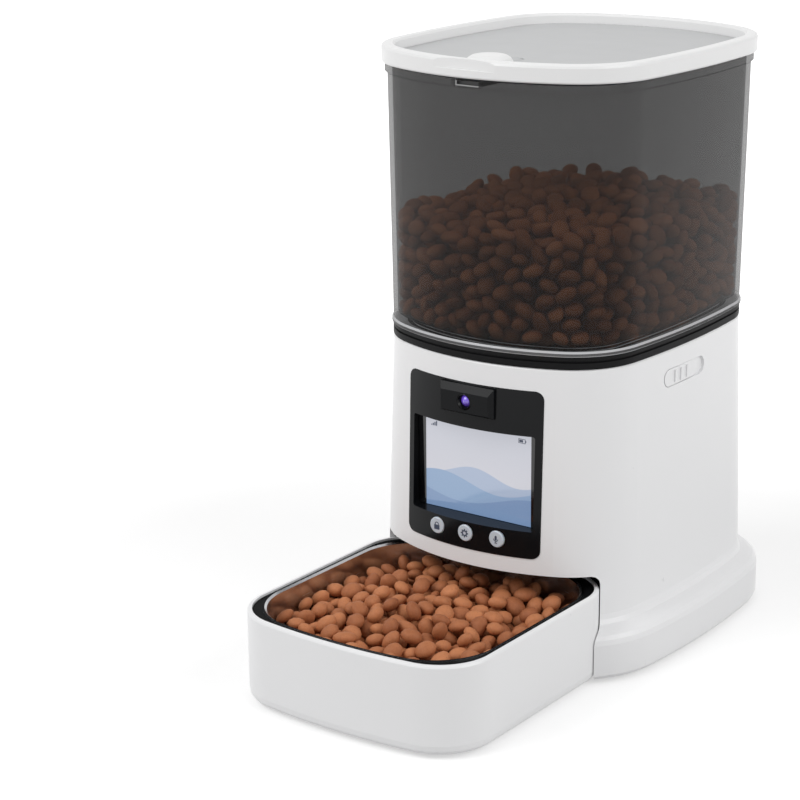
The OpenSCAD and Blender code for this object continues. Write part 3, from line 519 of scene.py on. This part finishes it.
def kibble_material(name, pale, dark):
    """Baked brown food: a tone for each piece, specks and a dry, pitted skin."""
    material, tree, shader = new_material(name, Specular_IOR_Level=0.3)
    tone = add_node(tree, "Attribute", {"attribute_name": "tone"}).outputs["Fac"]
    place = add_node(tree, "TexCoord").outputs["Object"]
    blotch = add_noise(tree, place, scale=260.0, detail=4.0, rough=0.6)
    own = add_maths(tree, "MULTIPLY_ADD", tone, 0.75, -0.12)
    share = add_maths(tree, "MULTIPLY_ADD", blotch, 0.55, own, clamp=True)
    base = add_blend(tree, share, tuple(pale), tuple(dark))
    speck = add_node(tree, "MapRange", None, {"From Min": 0.6, "From Max": 0.72})
    tree.links.new(add_noise(tree, place, scale=1500.0), speck.inputs["Value"])
    speck = add_maths(tree, "MULTIPLY", speck.outputs[0], 0.35)
    tree.links.new(add_blend(tree, speck, base, darker(dark, 0.55)), shader.inputs["Base Color"])
    tree.links.new(add_maths(tree, "MULTIPLY_ADD", blotch, 0.25, 0.5), shader.inputs["Roughness"])
    pits = add_noise(tree, place, scale=700.0, detail=4.0, rough=0.65)
    add_bump(tree, shader, pits, strength=0.5, depth=0.0006)
    return material


def tower_room(spots, offset):
    """Distance of spots in plan to the tower's outline, moved out by an offset; positive inside."""
    # Half sizes and radii of the CAD's outline, then the middle of its corner and the degrees it spans
    half_w, half_d, corner, front_r, side_r = 0.0815, 0.1035, 0.045, 0.1281, 0.5359
    centre, corner_from, corner_to = np.array((0.03381, 0.05131)), 24, 84
    point = np.abs(spots - np.array((0, TOWER_Y)))
    front = front_r + offset - np.hypot(point[:, 0], point[:, 1] + front_r - half_d)
    side = side_r + offset - np.hypot(point[:, 0] + side_r - half_w, point[:, 1])
    out = point - centre
    round_end = corner + offset - np.hypot(out[:, 0], out[:, 1])
    angle = np.degrees(np.arctan2(out[:, 0], out[:, 1]))
    in_corner = (angle > corner_from) & (angle < corner_to)
    return np.where(in_corner, round_end, np.minimum(front, side))


def bowl_room(spots, offset):
    """Distance of spots in plan to the bowl's plan, moved out by an offset; positive inside."""
    # Half width of the CAD's outline, its ends and front corners in y, radii, and where a front corner starts
    half_w, front_y, fore_y, back_y = 0.0775, -0.1745, -0.12924, -0.011
    front_r, front_corner, back_corner, sweep = 0.30731, 0.043, 0.041, 7.5
    x, y = np.abs(spots[:, 0]), spots[:, 1]
    front = front_r + offset - np.hypot(x, y - front_r - front_y)
    straight = np.minimum(half_w + offset - x, back_y + offset - y)
    plain = np.minimum(front, straight)
    fore = np.array((half_w - front_corner, fore_y))
    rear = np.array((half_w - back_corner, back_y - back_corner))
    ahead = front_corner + offset - np.hypot(x - fore[0], y - fore[1])
    behind = back_corner + offset - np.hypot(x - rear[0], y - rear[1])
    in_fore = (y < fore[1]) & (np.degrees(np.arctan2(x - fore[0], fore[1] - y)) > sweep)
    in_rear = (x > rear[0]) & (y > rear[1])
    return np.where(in_fore, ahead, np.where(in_rear, behind, plain))


def uphill(room, spots):
    """Direction in plan in which the room grows."""
    step = 1e-5
    moves = np.eye(spots.shape[1])[:2] * step
    return np.stack([(room(spots + m) - room(spots - m)) / (2 * step) for m in moves], 1)


def draw_inside(low, high, room):
    """Random spots in a plan whose room is positive; those near the edge lean on it."""

    def draw(rng, count):
        kept = np.zeros((0, 2))
        while len(kept) < count:
            spots = rng.uniform(low, high, (2 * count, 2))
            kept = np.vstack([kept, spots[room(spots) > 0]])
        kept = kept[:count]
        left = room(kept)
        return kept - uphill(room, kept) * np.where(left < EDGE_REACH, left, 0)[:, None]

    return draw


def heap(spots, middle, half):
    """Height of a soft heap at spots in plan, 1 at its middle."""
    return np.exp(-(((spots - np.array(middle)) / half) ** 2).sum(1))


def pour(seed, low, high, plan, floor, level, room):
    """Kibbles on a floor up to a level; plan is the room of their middles, room that of their skins."""
    rng = np.random.default_rng(seed)
    placed = settle(rng, draw_inside(low, high, plan), floor, level, kibble_radius())
    return kibble_shape(rng, placed, floor, level, room)


# Operators


class FEEDER_OT_stage(Operator):
    """Set up the camera, the lamps and the plain floor"""

    bl_idname = "feeder.stage"
    bl_label = "Stage"

    # Width of the camera's sensor, in millimetres
    SENSOR = 36.0
    # Name, place, size and power in watts of each lamp, and the point that they are aimed at
    LAMPS = (
        ("key lamp", (-1.1, -1.7, 1.9), 1.6, 33.0),
        ("side lamp", (1.9, 0.1, 1.3), 1.5, 18.5),
    )
    AIM = (0, 0, 0.15)
    # Strength of the sky's light where the sky itself isn't seen
    SKY = 0.5
    # Half width of the floor, and its drop below the feet
    FLOOR, DROP = 12.0, 0.0002

    def execute(self, context):
        scene = context.scene
        stage = scene.feeder_stage
        scene.view_settings.view_transform = "Standard"
        data = bpy.data.cameras.new("camera")
        data.lens = stage.focal
        data.sensor_width = self.SENSOR
        data.shift_x = stage.shift
        camera = bpy.data.objects.new("camera", data)
        camera.location = stage.camera_at
        camera.rotation_euler = Vector(stage.camera_dir).to_track_quat("-Z", "Y").to_euler()
        scene.collection.objects.link(camera)
        scene.camera = camera
        for lamp in self.LAMPS:
            self.lamp(context, *lamp)
        self.sky(scene)
        self.floor(stage)
        return {"FINISHED"}

    def lamp(self, context, name, place, size, power):
        data = bpy.data.lights.new(name, "AREA")
        data.size = size
        data.energy = power
        lamp = bpy.data.objects.new(name, data)
        lamp.location = place
        aim = Vector(self.AIM) - Vector(place)
        lamp.rotation_euler = aim.to_track_quat("-Z", "Y").to_euler()
        context.scene.collection.objects.link(lamp)

    def seen(self, tree):
        """1 for rays that show a thing directly, in a mirror or through glass."""
        path = add_node(tree, "LightPath")
        both = add_maths(tree, "MAXIMUM", path.outputs["Is Camera Ray"], path.outputs["Is Glossy Ray"])
        return add_maths(tree, "MAXIMUM", both, path.outputs["Is Transmission Ray"])

    def sky(self, scene):
        world = bpy.data.worlds.new("studio")
        world.use_nodes = True
        scene.world = world
        tree = world.node_tree
        back = tree.nodes["Background"]
        back.inputs["Color"].default_value = (*WHITE, 1.0)
        strength = add_maths(tree, "MULTIPLY_ADD", self.seen(tree), 1.0 - self.SKY, self.SKY)
        tree.links.new(strength, back.inputs["Strength"])

    def floor(self, stage):
        """A matt floor that shows white away from the feeder and keeps its shadow."""
        material, tree, shader = new_material(
            "pale floor", Roughness=0.9, Specular_IOR_Level=0.0, Emission_Color=WHITE
        )
        place = add_node(tree, "TexCoord").outputs["Object"]
        drift = add_noise(tree, place, scale=3.0)
        colour = add_blend(tree, drift, tuple(stage.floor), darker(stage.floor, 0.99))
        tree.links.new(colour, shader.inputs["Base Color"])
        away = add_node(tree, "VectorMath", {"operation": "LENGTH"})
        tree.links.new(place, away.inputs[0])
        grow = add_node(
            tree, "MapRange", None, {"From Min": 0.3, "From Max": 1.0, "To Min": 0.5, "To Max": 1.0}
        )
        tree.links.new(away.outputs["Value"], grow.inputs["Value"])
        strength = add_maths(tree, "MULTIPLY", self.seen(tree), grow.outputs[0])
        tree.links.new(strength, shader.inputs["Emission Strength"])
        shape = bmesh.new()
        bmesh.ops.create_grid(shape, x_segments=8, y_segments=8, size=self.FLOOR)
        bmesh.ops.translate(shape, vec=(0, 0, -self.DROP), verts=shape.verts)
        mesh = bpy.data.meshes.new("floor")
        shape.to_mesh(mesh)
        shape.free()
        mesh.materials.append(material)
        floor = bpy.data.objects.new("floor", mesh)
        bpy.context.scene.collection.objects.link(floor)


class FEEDER_OT_white_parts(Operator):
    """Finish the white and grey moulded parts"""

    bl_idname = "feeder.white_parts"
    bl_label = "White parts"

    def execute(self, context):
        look = finish()
        mould_slots((
            ("shell", "white shell", look.shell, 0.28, 0.03, 2200.0, 0.06, 0.985, 0.5),
            ("lid_white", "white lid rim", look.lid, 0.3, 0.04, 2200.0, 0.05, 0.98, 0.5),
            ("lid_grey", "grey lid inset", look.inset, 0.42, 0.12, 1600.0, 0.12, 0.94, 0.5),
            ("inner_white", "inner white", tint(222, 222, 220), 0.5, 0.12, 1500.0, 0.15, 0.93, 0.5),
        ))
        self.latch(look)
        return {"FINISHED"}

    def latch(self, look):
        """White knob of the lid's latch; below the lid it is painted black, a painted shade."""
        shade = 0.96
        material = moulded("lid latch", look.lid, rough=0.3, grain=2200.0, bump=0.06, shade=shade)
        tree = material.node_tree
        skin = next(n for n in tree.nodes if n.bl_idname == "ShaderNodeGroup")
        split = add_node(tree, "SeparateXYZ")
        tree.links.new(add_node(tree, "TexCoord").outputs["Object"], split.inputs[0])
        # Below the lid's frame the latch takes the panel's black: painted shade inside the hopper
        above = add_maths(tree, "GREATER_THAN", split.outputs["Z"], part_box("lid_frame")[0][2])
        for label, white in (("Colour", tuple(look.lid)), ("Shade", darker(look.lid, shade))):
            tree.links.new(add_blend(tree, above, tuple(look.gloss), white), skin.inputs[label])
        paint(material, "lid_latch")


class FEEDER_OT_hopper(Operator):
    """Finish the smoked hopper, with a painted highlight along its lower bead"""

    bl_idname = "feeder.hopper"
    bl_label = "Smoked hopper"

    # Heights of the bead's chamfers above the seal, which get a pale painted highlight
    BEAD = ((0.0001, 0.0007), (0.0021, 0.0032))
    # Opacity of the walls, and what the bead's painted highlight has more, so that its pale colour shows
    OPACITY, BEAD_OPACITY = 0.55, 0.35
    # Share of the dark edge where a wall is seen from the side, and how fast it falls off
    EDGE_SHARE, EDGE_POWER = 0.8, 6.0

    def mix(self, tree, share, first, second):
        """Mixes two shaders by a share."""
        node = add_node(tree, "MixShader")
        for socket, source in zip(node.inputs, (share, first.outputs[0], second.outputs[0])):
            tree.links.new(source, socket)
        return node

    def band(self, tree, height, low, high):
        """Mask of the heights between two levels."""
        above = add_maths(tree, "GREATER_THAN", height, low)
        return add_maths(tree, "MULTIPLY", above, add_maths(tree, "LESS_THAN", height, high))

    def execute(self, context):
        look = finish()
        material, tree, shader = new_material("smoked hopper", IOR=1.49, Specular_IOR_Level=0.16)
        split = add_node(tree, "SeparateXYZ")
        tree.links.new(add_node(tree, "TexCoord").outputs["Object"], split.inputs[0])
        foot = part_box("hopper_seal")[1][2]
        # The pale hopper edge colour on the bead's chamfers is a painted highlight
        edges = [self.band(tree, split.outputs["Z"], foot + low, foot + high) for low, high in self.BEAD]
        edge = add_maths(tree, "MAXIMUM", *edges)
        colour = add_blend(tree, edge, tuple(look.smoke), tuple(look.edge))
        tree.links.new(colour, shader.inputs["Base Color"])
        opacity = add_maths(tree, "MULTIPLY_ADD", edge, self.BEAD_OPACITY, self.OPACITY)
        tree.links.new(opacity, shader.inputs["Alpha"])
        smear = place_group(tree, "Smears", Rough=0.07, Smear=0.1, Scale=22.0)
        tree.links.new(smear.outputs["Roughness"], shader.inputs["Roughness"])
        dark = add_node(tree, "BsdfDiffuse", None, {"Color": (*look.smoke, 1.0)})
        slant = add_maths(tree, "POWER", add_node(tree, "LayerWeight").outputs["Facing"], self.EDGE_POWER)
        skin = self.mix(tree, add_maths(tree, "MULTIPLY", slant, self.EDGE_SHARE), shader, dark)
        path = add_node(tree, "LightPath")
        skin = self.mix(tree, path.outputs["Is Shadow Ray"], skin, add_node(tree, "BsdfTransparent"))
        tree.links.new(skin.outputs[0], tree.nodes["Material Output"].inputs["Surface"])
        paint_slot(material, "smoke")
        return {"FINISHED"}


class FEEDER_OT_black_parts(Operator):
    """Finish the black panel, the matt black parts and the rubber"""

    bl_idname = "feeder.black_parts"
    bl_label = "Black parts"

    def execute(self, context):
        look = finish()
        material, tree, shader = new_material("black panel", Specular_IOR_Level=0.15)
        skin = place_group(
            tree, "Moulded surface", Colour=tuple(look.gloss), Shade=darker(look.gloss, 0.8), Grain=1500.0
        )
        smear = place_group(tree, "Smears", Rough=0.13, Smear=0.14, Scale=35.0)
        tree.links.new(skin.outputs["Colour"], shader.inputs["Base Color"])
        tree.links.new(smear.outputs["Roughness"], shader.inputs["Roughness"])
        add_bump(tree, shader, skin.outputs["Height"], strength=0.03, depth=0.0001)
        paint_slot(material, "black_gloss")
        hood = moulded(
            "black hood", look.gloss, rough=0.24, spread=0.06, grain=1500.0, bump=0.05, shade=0.8,
            Specular_IOR_Level=0.11
        )
        paint(hood, "camera_hood")
        mould_slots((
            ("black_matt", "matt black", look.matt, 0.55, 0.12, 1300.0, 0.25, 0.8, 0.04),
            ("inner_dark", "inner dark", tint(58, 59, 62), 0.5, 0.12, 1200.0, 0.2, 0.85, 0.5),
            ("rubber_black", "black rubber", look.rubber, 0.5, 0.14, 1700.0, 0.3, 0.8, 0.1),
        ))
        return {"FINISHED"}


class FEEDER_OT_metal_parts(Operator):
    """Finish the steel bowl, the screws and the contacts; their faces that look up get a painted dark
    reflection
    """

    bl_idname = "feeder.metal_parts"
    bl_label = "Metal parts"

    # A face whose normal has more z than this looks up, such as the bowl's flat rim, and gets a painted dark
    # reflection; share and tone of that painted dark
    FLAT, FLAT_SHARE, FLAT_TONE = 0.8, 0.9, 0.1

    def execute(self, context):
        look = finish()
        for name, colour, rough, slot in (
            ("bowl steel", look.steel, 0.24, "steel"),
            ("screw steel", tint(176, 176, 178), 0.34, "screw_steel"),
            ("contact metal", tint(196, 190, 176), 0.3, "contact"),
        ):
            material, tree, shader = new_material(name, Metallic=1.0, Base_Color=tuple(colour))
            lines = place_group(tree, "Polish lines", Rough=rough, Spread=0.16)
            tree.links.new(lines.outputs["Roughness"], shader.inputs["Roughness"])
            add_bump(tree, shader, lines.outputs["Height"], strength=0.05, depth=0.0001)
            skin = place_group(tree, "Moulded surface", Colour=tuple(colour), Shade=darker(colour, 0.86))
            split = add_node(tree, "SeparateXYZ")
            tree.links.new(add_node(tree, "NewGeometry").outputs["Normal"], split.inputs[0])
            # Faces that look up get a painted dark reflection: a dark base colour and a black specular tint
            flat = add_maths(tree, "GREATER_THAN", split.outputs["Z"], self.FLAT)
            flat = add_maths(tree, "MULTIPLY", flat, self.FLAT_SHARE)
            tone = add_blend(tree, flat, skin.outputs["Colour"], darker(colour, self.FLAT_TONE))
            tree.links.new(tone, shader.inputs["Base Color"])
            tree.links.new(add_blend(tree, flat, WHITE, BLACK), shader.inputs["Specular Tint"])
            paint_slot(material, slot)
        return {"FINISHED"}


class FEEDER_OT_camera(Operator):
    """Finish the camera's coated lens, with a painted highlight on its upper half that also shines faintly"""

    bl_idname = "feeder.camera"
    bl_label = "Camera lens"

    # Colour of the painted highlight on the coating's upper half, and how fast it comes in, per metre
    GLOW, GLOW_RISE = tint(128, 92, 240), 160.0

    def execute(self, context):
        # The lens emits faintly in the colour of its painted highlight, though it is no lamp
        material, tree, shader = new_material(
            "coated lens", Coat_Weight=1.0, Coat_Roughness=0.02, IOR=1.6, Emission_Strength=0.35
        )
        low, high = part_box("camera_lens")
        middle = [(a + b) / 2 for a, b in zip(low, high)]
        place = add_node(tree, "Mapping", None, {"Location": [-c for c in middle]})
        tree.links.new(add_node(tree, "TexCoord").outputs["Object"], place.inputs["Vector"])
        split = add_node(tree, "SeparateXYZ")
        tree.links.new(place.outputs[0], split.inputs[0])
        upper = add_maths(tree, "MULTIPLY_ADD", split.outputs["Z"], self.GLOW_RISE, 0.5, clamp=True)
        glow = add_blend(tree, upper, tuple(finish().lens), self.GLOW)
        tree.links.new(glow, shader.inputs["Base Color"])
        smear = place_group(tree, "Smears", Rough=0.05, Smear=0.1, Scale=300.0)
        tree.links.new(smear.outputs["Roughness"], shader.inputs["Roughness"])
        tree.links.new(glow, shader.inputs["Emission Color"])
        paint_slot(material, "lens")
        return {"FINISHED"}


class FEEDER_OT_screen(Operator):
    """Draw a standby picture of hills on the screen"""

    bl_idname = "feeder.screen"
    bl_label = "Screen"

    # Colour setting, level, swell, waves in radians per metre and turn of each range of hills
    HILLS = (
        ("far", -0.002, 0.0035, 105.0, 1.9),
        ("middle", -0.008, 0.0042, 78.0, 3.6),
        ("near", -0.0155, 0.0048, 62.0, 5.4),
    )
    # Thickness of the icons, and their distance below the picture's top edge
    INK, ICON_DROP = 0.00008, 0.0035
    # Signal bars: how many, distance from the left edge, step, width, and rise from one to the next
    BARS, BAR_INSET, BAR_STEP, BAR_W, BAR_RISE = 4, 0.004, 0.0011, 0.0007, 0.0007
    # Foot of the bars below the icons' middle
    BAR_FOOT = 0.0014
    # Battery: distance from the right edge, and x, z, width and height of its strokes
    BATTERY_INSET = 0.0062
    BATTERY = (
        (0, 0.00115, 0.0046, 0.0003), (0, -0.00115, 0.0046, 0.0003),
        (-0.00215, 0, 0.0003, 0.0026), (0.00215, 0, 0.0003, 0.0026),
        (0.0026, 0, 0.0004, 0.0011), (-0.0005, 0, 0.0024, 0.0014),
    )

    def execute(self, context):
        look = screen()
        low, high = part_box("display_glass")
        middle = Vector(((low[0] + high[0]) / 2, low[1], (low[2] + high[2]) / 2 + look.rise))
        material, tree, shader = new_material(
            "lit screen", Coat_Weight=0.6, Coat_Roughness=0.04, Emission_Strength=0.62
        )
        place = add_node(tree, "Mapping", None, {"Location": -middle})
        tree.links.new(add_node(tree, "TexCoord").outputs["Object"], place.inputs["Vector"])
        split = add_node(tree, "SeparateXYZ")
        tree.links.new(place.outputs[0], split.inputs[0])
        across, up = split.outputs["X"], split.outputs["Z"]
        climb = add_maths(tree, "MULTIPLY_ADD", up, 1.0 / look.height, 0.5, clamp=True)
        picture = add_blend(tree, climb, tuple(look.haze), tuple(look.sky))
        for name, level, swell, waves, turn in self.HILLS:
            hill = place_group(
                tree, "Hill line", Across=across, Up=up, Level=level, Swell=swell, Waves=waves, Turn=turn
            )
            picture = add_blend(tree, hill.outputs["Mask"], picture, tuple(getattr(look, name)))
        grain = add_noise(tree, place.outputs[0], scale=900.0)
        picture = add_blend(tree, add_maths(tree, "MULTIPLY", grain, 0.06), picture, WHITE)
        wide = add_maths(tree, "LESS_THAN", add_maths(tree, "ABSOLUTE", across), look.width / 2)
        tall = add_maths(tree, "LESS_THAN", add_maths(tree, "ABSOLUTE", up), look.height / 2)
        lit = add_maths(tree, "MULTIPLY", wide, tall)
        tree.links.new(add_blend(tree, lit, BLACK, picture), shader.inputs["Emission Color"])
        glass = add_blend(tree, lit, tint(14, 15, 18), darker(look.sky, 0.3))
        tree.links.new(glass, shader.inputs["Base Color"])
        smear = place_group(tree, "Smears", Rough=0.08, Smear=0.12, Scale=50.0)
        tree.links.new(smear.outputs["Roughness"], shader.inputs["Roughness"])
        paint_slot(material, "screen")
        self.icons(look, middle)
        return {"FINISHED"}

    def icons(self, look, middle):
        """Signal bars and a battery along the picture's top edge."""
        shape = bmesh.new()
        y = middle.y - self.INK / 2
        top = middle.z + look.height / 2 - self.ICON_DROP
        left = middle.x - look.width / 2 + self.BAR_INSET
        for i in range(self.BARS):
            tall = self.BAR_RISE * (i + 1)
            spot = (left + self.BAR_STEP * i, y, top - self.BAR_FOOT + tall / 2)
            add_plate(shape, spot, (self.BAR_W, self.INK, tall))
        right = middle.x + look.width / 2 - self.BATTERY_INSET
        for dx, dz, wide, tall in self.BATTERY:
            add_plate(shape, (right + dx, y, top + dz), (wide, self.INK, tall))
        ink = moulded("screen icons", tint(84, 96, 120), rough=0.4, bump=0.02)
        new_piece("screen_icons", close_shape(shape), ink, "base")


class FEEDER_OT_buttons(Operator):
    """Finish the buttons and give each its symbol"""

    bl_idname = "feeder.buttons"
    bl_label = "Buttons"

    # Thickness of the symbols, and how far they reach into the caps
    INK, SUNK = 0.00012, 0.00002
    # Teeth of the gear
    TEETH = 8

    def execute(self, context):
        look = finish()
        cap = moulded("pale button", look.key, rough=0.32, bump=0.1, shade=0.95, Subsurface_Weight=0.1)
        paint_slot(cap, "button")
        ink = moulded("button ink", look.mark, rough=0.45, grain=2000.0, bump=0.05, shade=0.85)
        for node, body, draw in (
            ("button_lock", "lock_key", self.padlock),
            ("button_set", "set_key", self.gear),
            ("button_talk", "talk_key", self.microphone),
        ):
            low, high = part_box(node)
            y = low[1] - self.INK / 2 + self.SUNK
            middle = Vector(((low[0] + high[0]) / 2, y, (low[2] + high[2]) / 2))
            shape = bmesh.new()
            draw(shape)
            close_shape(shape)
            bmesh.ops.translate(shape, vec=middle, verts=shape.verts)
            new_piece(node + "_symbol", shape, ink, body)
        return {"FINISHED"}

    def padlock(self, shape):
        add_plate(shape, (0, 0, -0.0009), (0.0036, self.INK, 0.0028), 0.0004)
        add_arc(shape, (0, 0, 0.0009), 0.0011, 0.00048, self.INK, 0, 180)
        for side in (-1, 1):
            add_plate(shape, (side * 0.0011, 0, 0.0007), (0.00048, self.INK, 0.0005))

    def gear(self, shape):
        add_arc(shape, (0, 0, 0), 0.0014, 0.0008, self.INK, 0, 360)
        for i in range(self.TEETH):
            before = set(shape.verts)
            add_plate(shape, (0, 0, 0.0021), (0.0007, self.INK, 0.0008))
            made = [v for v in shape.verts if v not in before]
            turn = Matrix.Rotation(math.radians(360 / self.TEETH * i), 3, "Y")
            bmesh.ops.rotate(shape, verts=made, cent=(0, 0, 0), matrix=turn)

    def microphone(self, shape):
        add_plate(shape, (0, 0, 0.0007), (0.0014, self.INK, 0.0029), 0.00068)
        add_arc(shape, (0, 0, 0.0002), 0.0014, 0.00038, self.INK, 180, 180)
        add_plate(shape, (0, 0, -0.0017), (0.0004, self.INK, 0.0008))
        add_plate(shape, (0, 0, -0.0022), (0.0018, self.INK, 0.0004))


class FEEDER_OT_inner_parts(Operator):
    """Finish the boards, the cells, the desiccant and the silicone"""

    bl_idname = "feeder.inner_parts"
    bl_label = "Inner parts"

    def execute(self, context):
        mould_slots((
            ("board", "green board", tint(26, 84, 52), 0.4, 0.12, 900.0, 0.2, 0.75, 0.5),
            ("cell", "cell sleeve", tint(62, 66, 74), 0.32, 0.1, 1200.0, 0.1, 0.85, 0.5),
            ("bag", "paper bag", tint(224, 220, 208), 0.85, 0.1, 700.0, 0.5, 0.9, 0.5),
        ))
        soft = moulded(
            "pale silicone", tint(196, 198, 202), rough=0.5, grain=1600.0, bump=0.15, shade=0.92,
            Subsurface_Weight=0.15
        )
        paint_slot(soft, "silicone")
        return {"FINISHED"}


class FEEDER_OT_hopper_food(Operator):
    """Fill the hopper with dry food"""

    bl_idname = "feeder.hopper_food"
    bl_label = "Food in the hopper"

    # Corners of a box in plan around the hopper
    LOW, HIGH = (-0.08, TOWER_Y - 0.103), (0.08, TOWER_Y + 0.103)
    # The wall's inner face inside the tower's outline, and how it leans out above a height
    WALL, DRAFT, DRAFT_FOOT = 0.0026, 0.0147, 0.192
    # The floor: its lowest height, and a cone's slope and height at a distance from the middle
    FLOOR, CONE_SLOPE, CONE_Z, CONE_R = 0.1766, 0.36, 0.171, 0.047
    # The ledge along the wall: width, slope and height
    LEDGE, LEDGE_SLOPE, LEDGE_Z = 0.0107, 0.45, 0.1888
    # Middle and half widths of the heap
    HEAP, HEAP_HALF = (0.01, TOWER_Y + 0.005), (0.06, 0.075)
    # Painted shade of the pale and the dark pieces behind the smoked wall, darker than the same food in the
    # bowl
    PALE_TONE, DARK_TONE = 0.95, 0.85

    def floor(self, spots):
        far = np.hypot(spots[:, 0], spots[:, 1] - TOWER_Y)
        cone = np.maximum(self.FLOOR, self.CONE_Z + self.CONE_SLOPE * (far - self.CONE_R))
        ledge = self.LEDGE - tower_room(spots, 0.0)
        return np.where(ledge > 0, np.maximum(cone, self.LEDGE_Z + self.LEDGE_SLOPE * ledge), cone)

    def level(self, spots):
        store = food()
        return store.store_level + store.store_heap * heap(spots, self.HEAP, self.HEAP_HALF)

    def plan(self, spots):
        return tower_room(spots, -self.WALL - kibble_radius())

    def room(self, points):
        return tower_room(points[:, :2], -self.WALL) + self.DRAFT * (points[:, 2] - self.DRAFT_FOOT)

    def execute(self, context):
        store = food()
        shape = pour(store.seed, self.LOW, self.HIGH, self.plan, self.floor, self.level, self.room)
        pale, dark = darker(store.pale, self.PALE_TONE), darker(store.dark, self.DARK_TONE)
        material = kibble_material("dry food in store", pale, dark)
        new_piece("hopper_kibble", shape, material, "hopper_unit")
        return {"FINISHED"}


class FEEDER_OT_bowl_food(Operator):
    """Fill the bowl with dry food"""

    bl_idname = "feeder.bowl_food"
    bl_label = "Food in the bowl"

    # Corners of a box in plan around the bowl
    LOW, HIGH = (-0.072, -0.169), (0.072, -0.016)
    # The wall's inner face inside the bowl's plan
    WALL = 0.0069
    # Height of the bowl's floor, and the top and slope of the round corner above it
    FLOOR, CORNER_Z, CORNER_SLOPE = 0.0089, 0.0154, 0.3
    # Middle and half widths of the heap
    HEAP, HEAP_HALF = (0.0, -0.085), (0.05, 0.05)

    def floor(self, spots):
        return np.full(len(spots), self.FLOOR)

    def level(self, spots):
        store = food()
        return store.bowl_level + store.bowl_heap * heap(spots, self.HEAP, self.HEAP_HALF)

    def plan(self, spots):
        return bowl_room(spots, -self.WALL - kibble_radius())

    def room(self, points):
        corner = np.maximum(self.CORNER_Z - points[:, 2], 0)
        return bowl_room(points[:, :2], -self.WALL) - self.CORNER_SLOPE * corner

    def execute(self, context):
        store = food()
        shape = pour(store.seed + 1, self.LOW, self.HIGH, self.plan, self.floor, self.level, self.room)
        material = kibble_material("dry food in bowl", store.pale, store.dark)
        new_piece("bowl_kibble", shape, material, "bowl_unit")
        return {"FINISHED"}


class FEEDER_PT_panel(Panel):
    """Settings and steps of the feeder's finish"""

    bl_idname = "FEEDER_PT_panel"
    bl_label = "Feeder"
    bl_space_type = "VIEW_3D"
    bl_region_type = "UI"
    bl_category = "Feeder"

    def draw(self, context):
        scene = context.scene
        for step in STEPS:
            self.layout.operator(step.bl_idname)
        for group in (scene.feeder_finish, scene.feeder_screen, scene.feeder_food, scene.feeder_stage):
            box = self.layout.box()
            for name in group.__annotations__:
                box.prop(group, name)


SETTINGS = (
    ("feeder_finish", FeederFinish),
    ("feeder_screen", FeederScreen),
    ("feeder_food", FeederFood),
    ("feeder_stage", FeederStage),
)
STEPS = (
    FEEDER_OT_stage,
    FEEDER_OT_white_parts,
    FEEDER_OT_hopper,
    FEEDER_OT_black_parts,
    FEEDER_OT_metal_parts,
    FEEDER_OT_camera,
    FEEDER_OT_screen,
    FEEDER_OT_buttons,
    FEEDER_OT_inner_parts,
    FEEDER_OT_hopper_food,
    FEEDER_OT_bowl_food,
)
CLASSES = (*(group for _, group in SETTINGS), *STEPS, FEEDER_PT_panel)


def register():
    for cls in CLASSES:
        bpy.utils.register_class(cls)
    for name, group in SETTINGS:
        setattr(bpy.types.Scene, name, PointerProperty(type=group))


def unregister():
    for name, _ in SETTINGS:
        delattr(bpy.types.Scene, name)
    for cls in reversed(CLASSES):
        bpy.utils.unregister_class(cls)


def main():
    register()
    bpy.ops.feeder.stage()
    bpy.ops.feeder.white_parts()
    bpy.ops.feeder.hopper()
    bpy.ops.feeder.black_parts()
    bpy.ops.feeder.metal_parts()
    bpy.ops.feeder.camera()
    bpy.ops.feeder.screen()
    bpy.ops.feeder.buttons()
    bpy.ops.feeder.inner_parts()
    bpy.ops.feeder.hopper_food()
    bpy.ops.feeder.bowl_food()


if __name__ == "__main__":
    main()
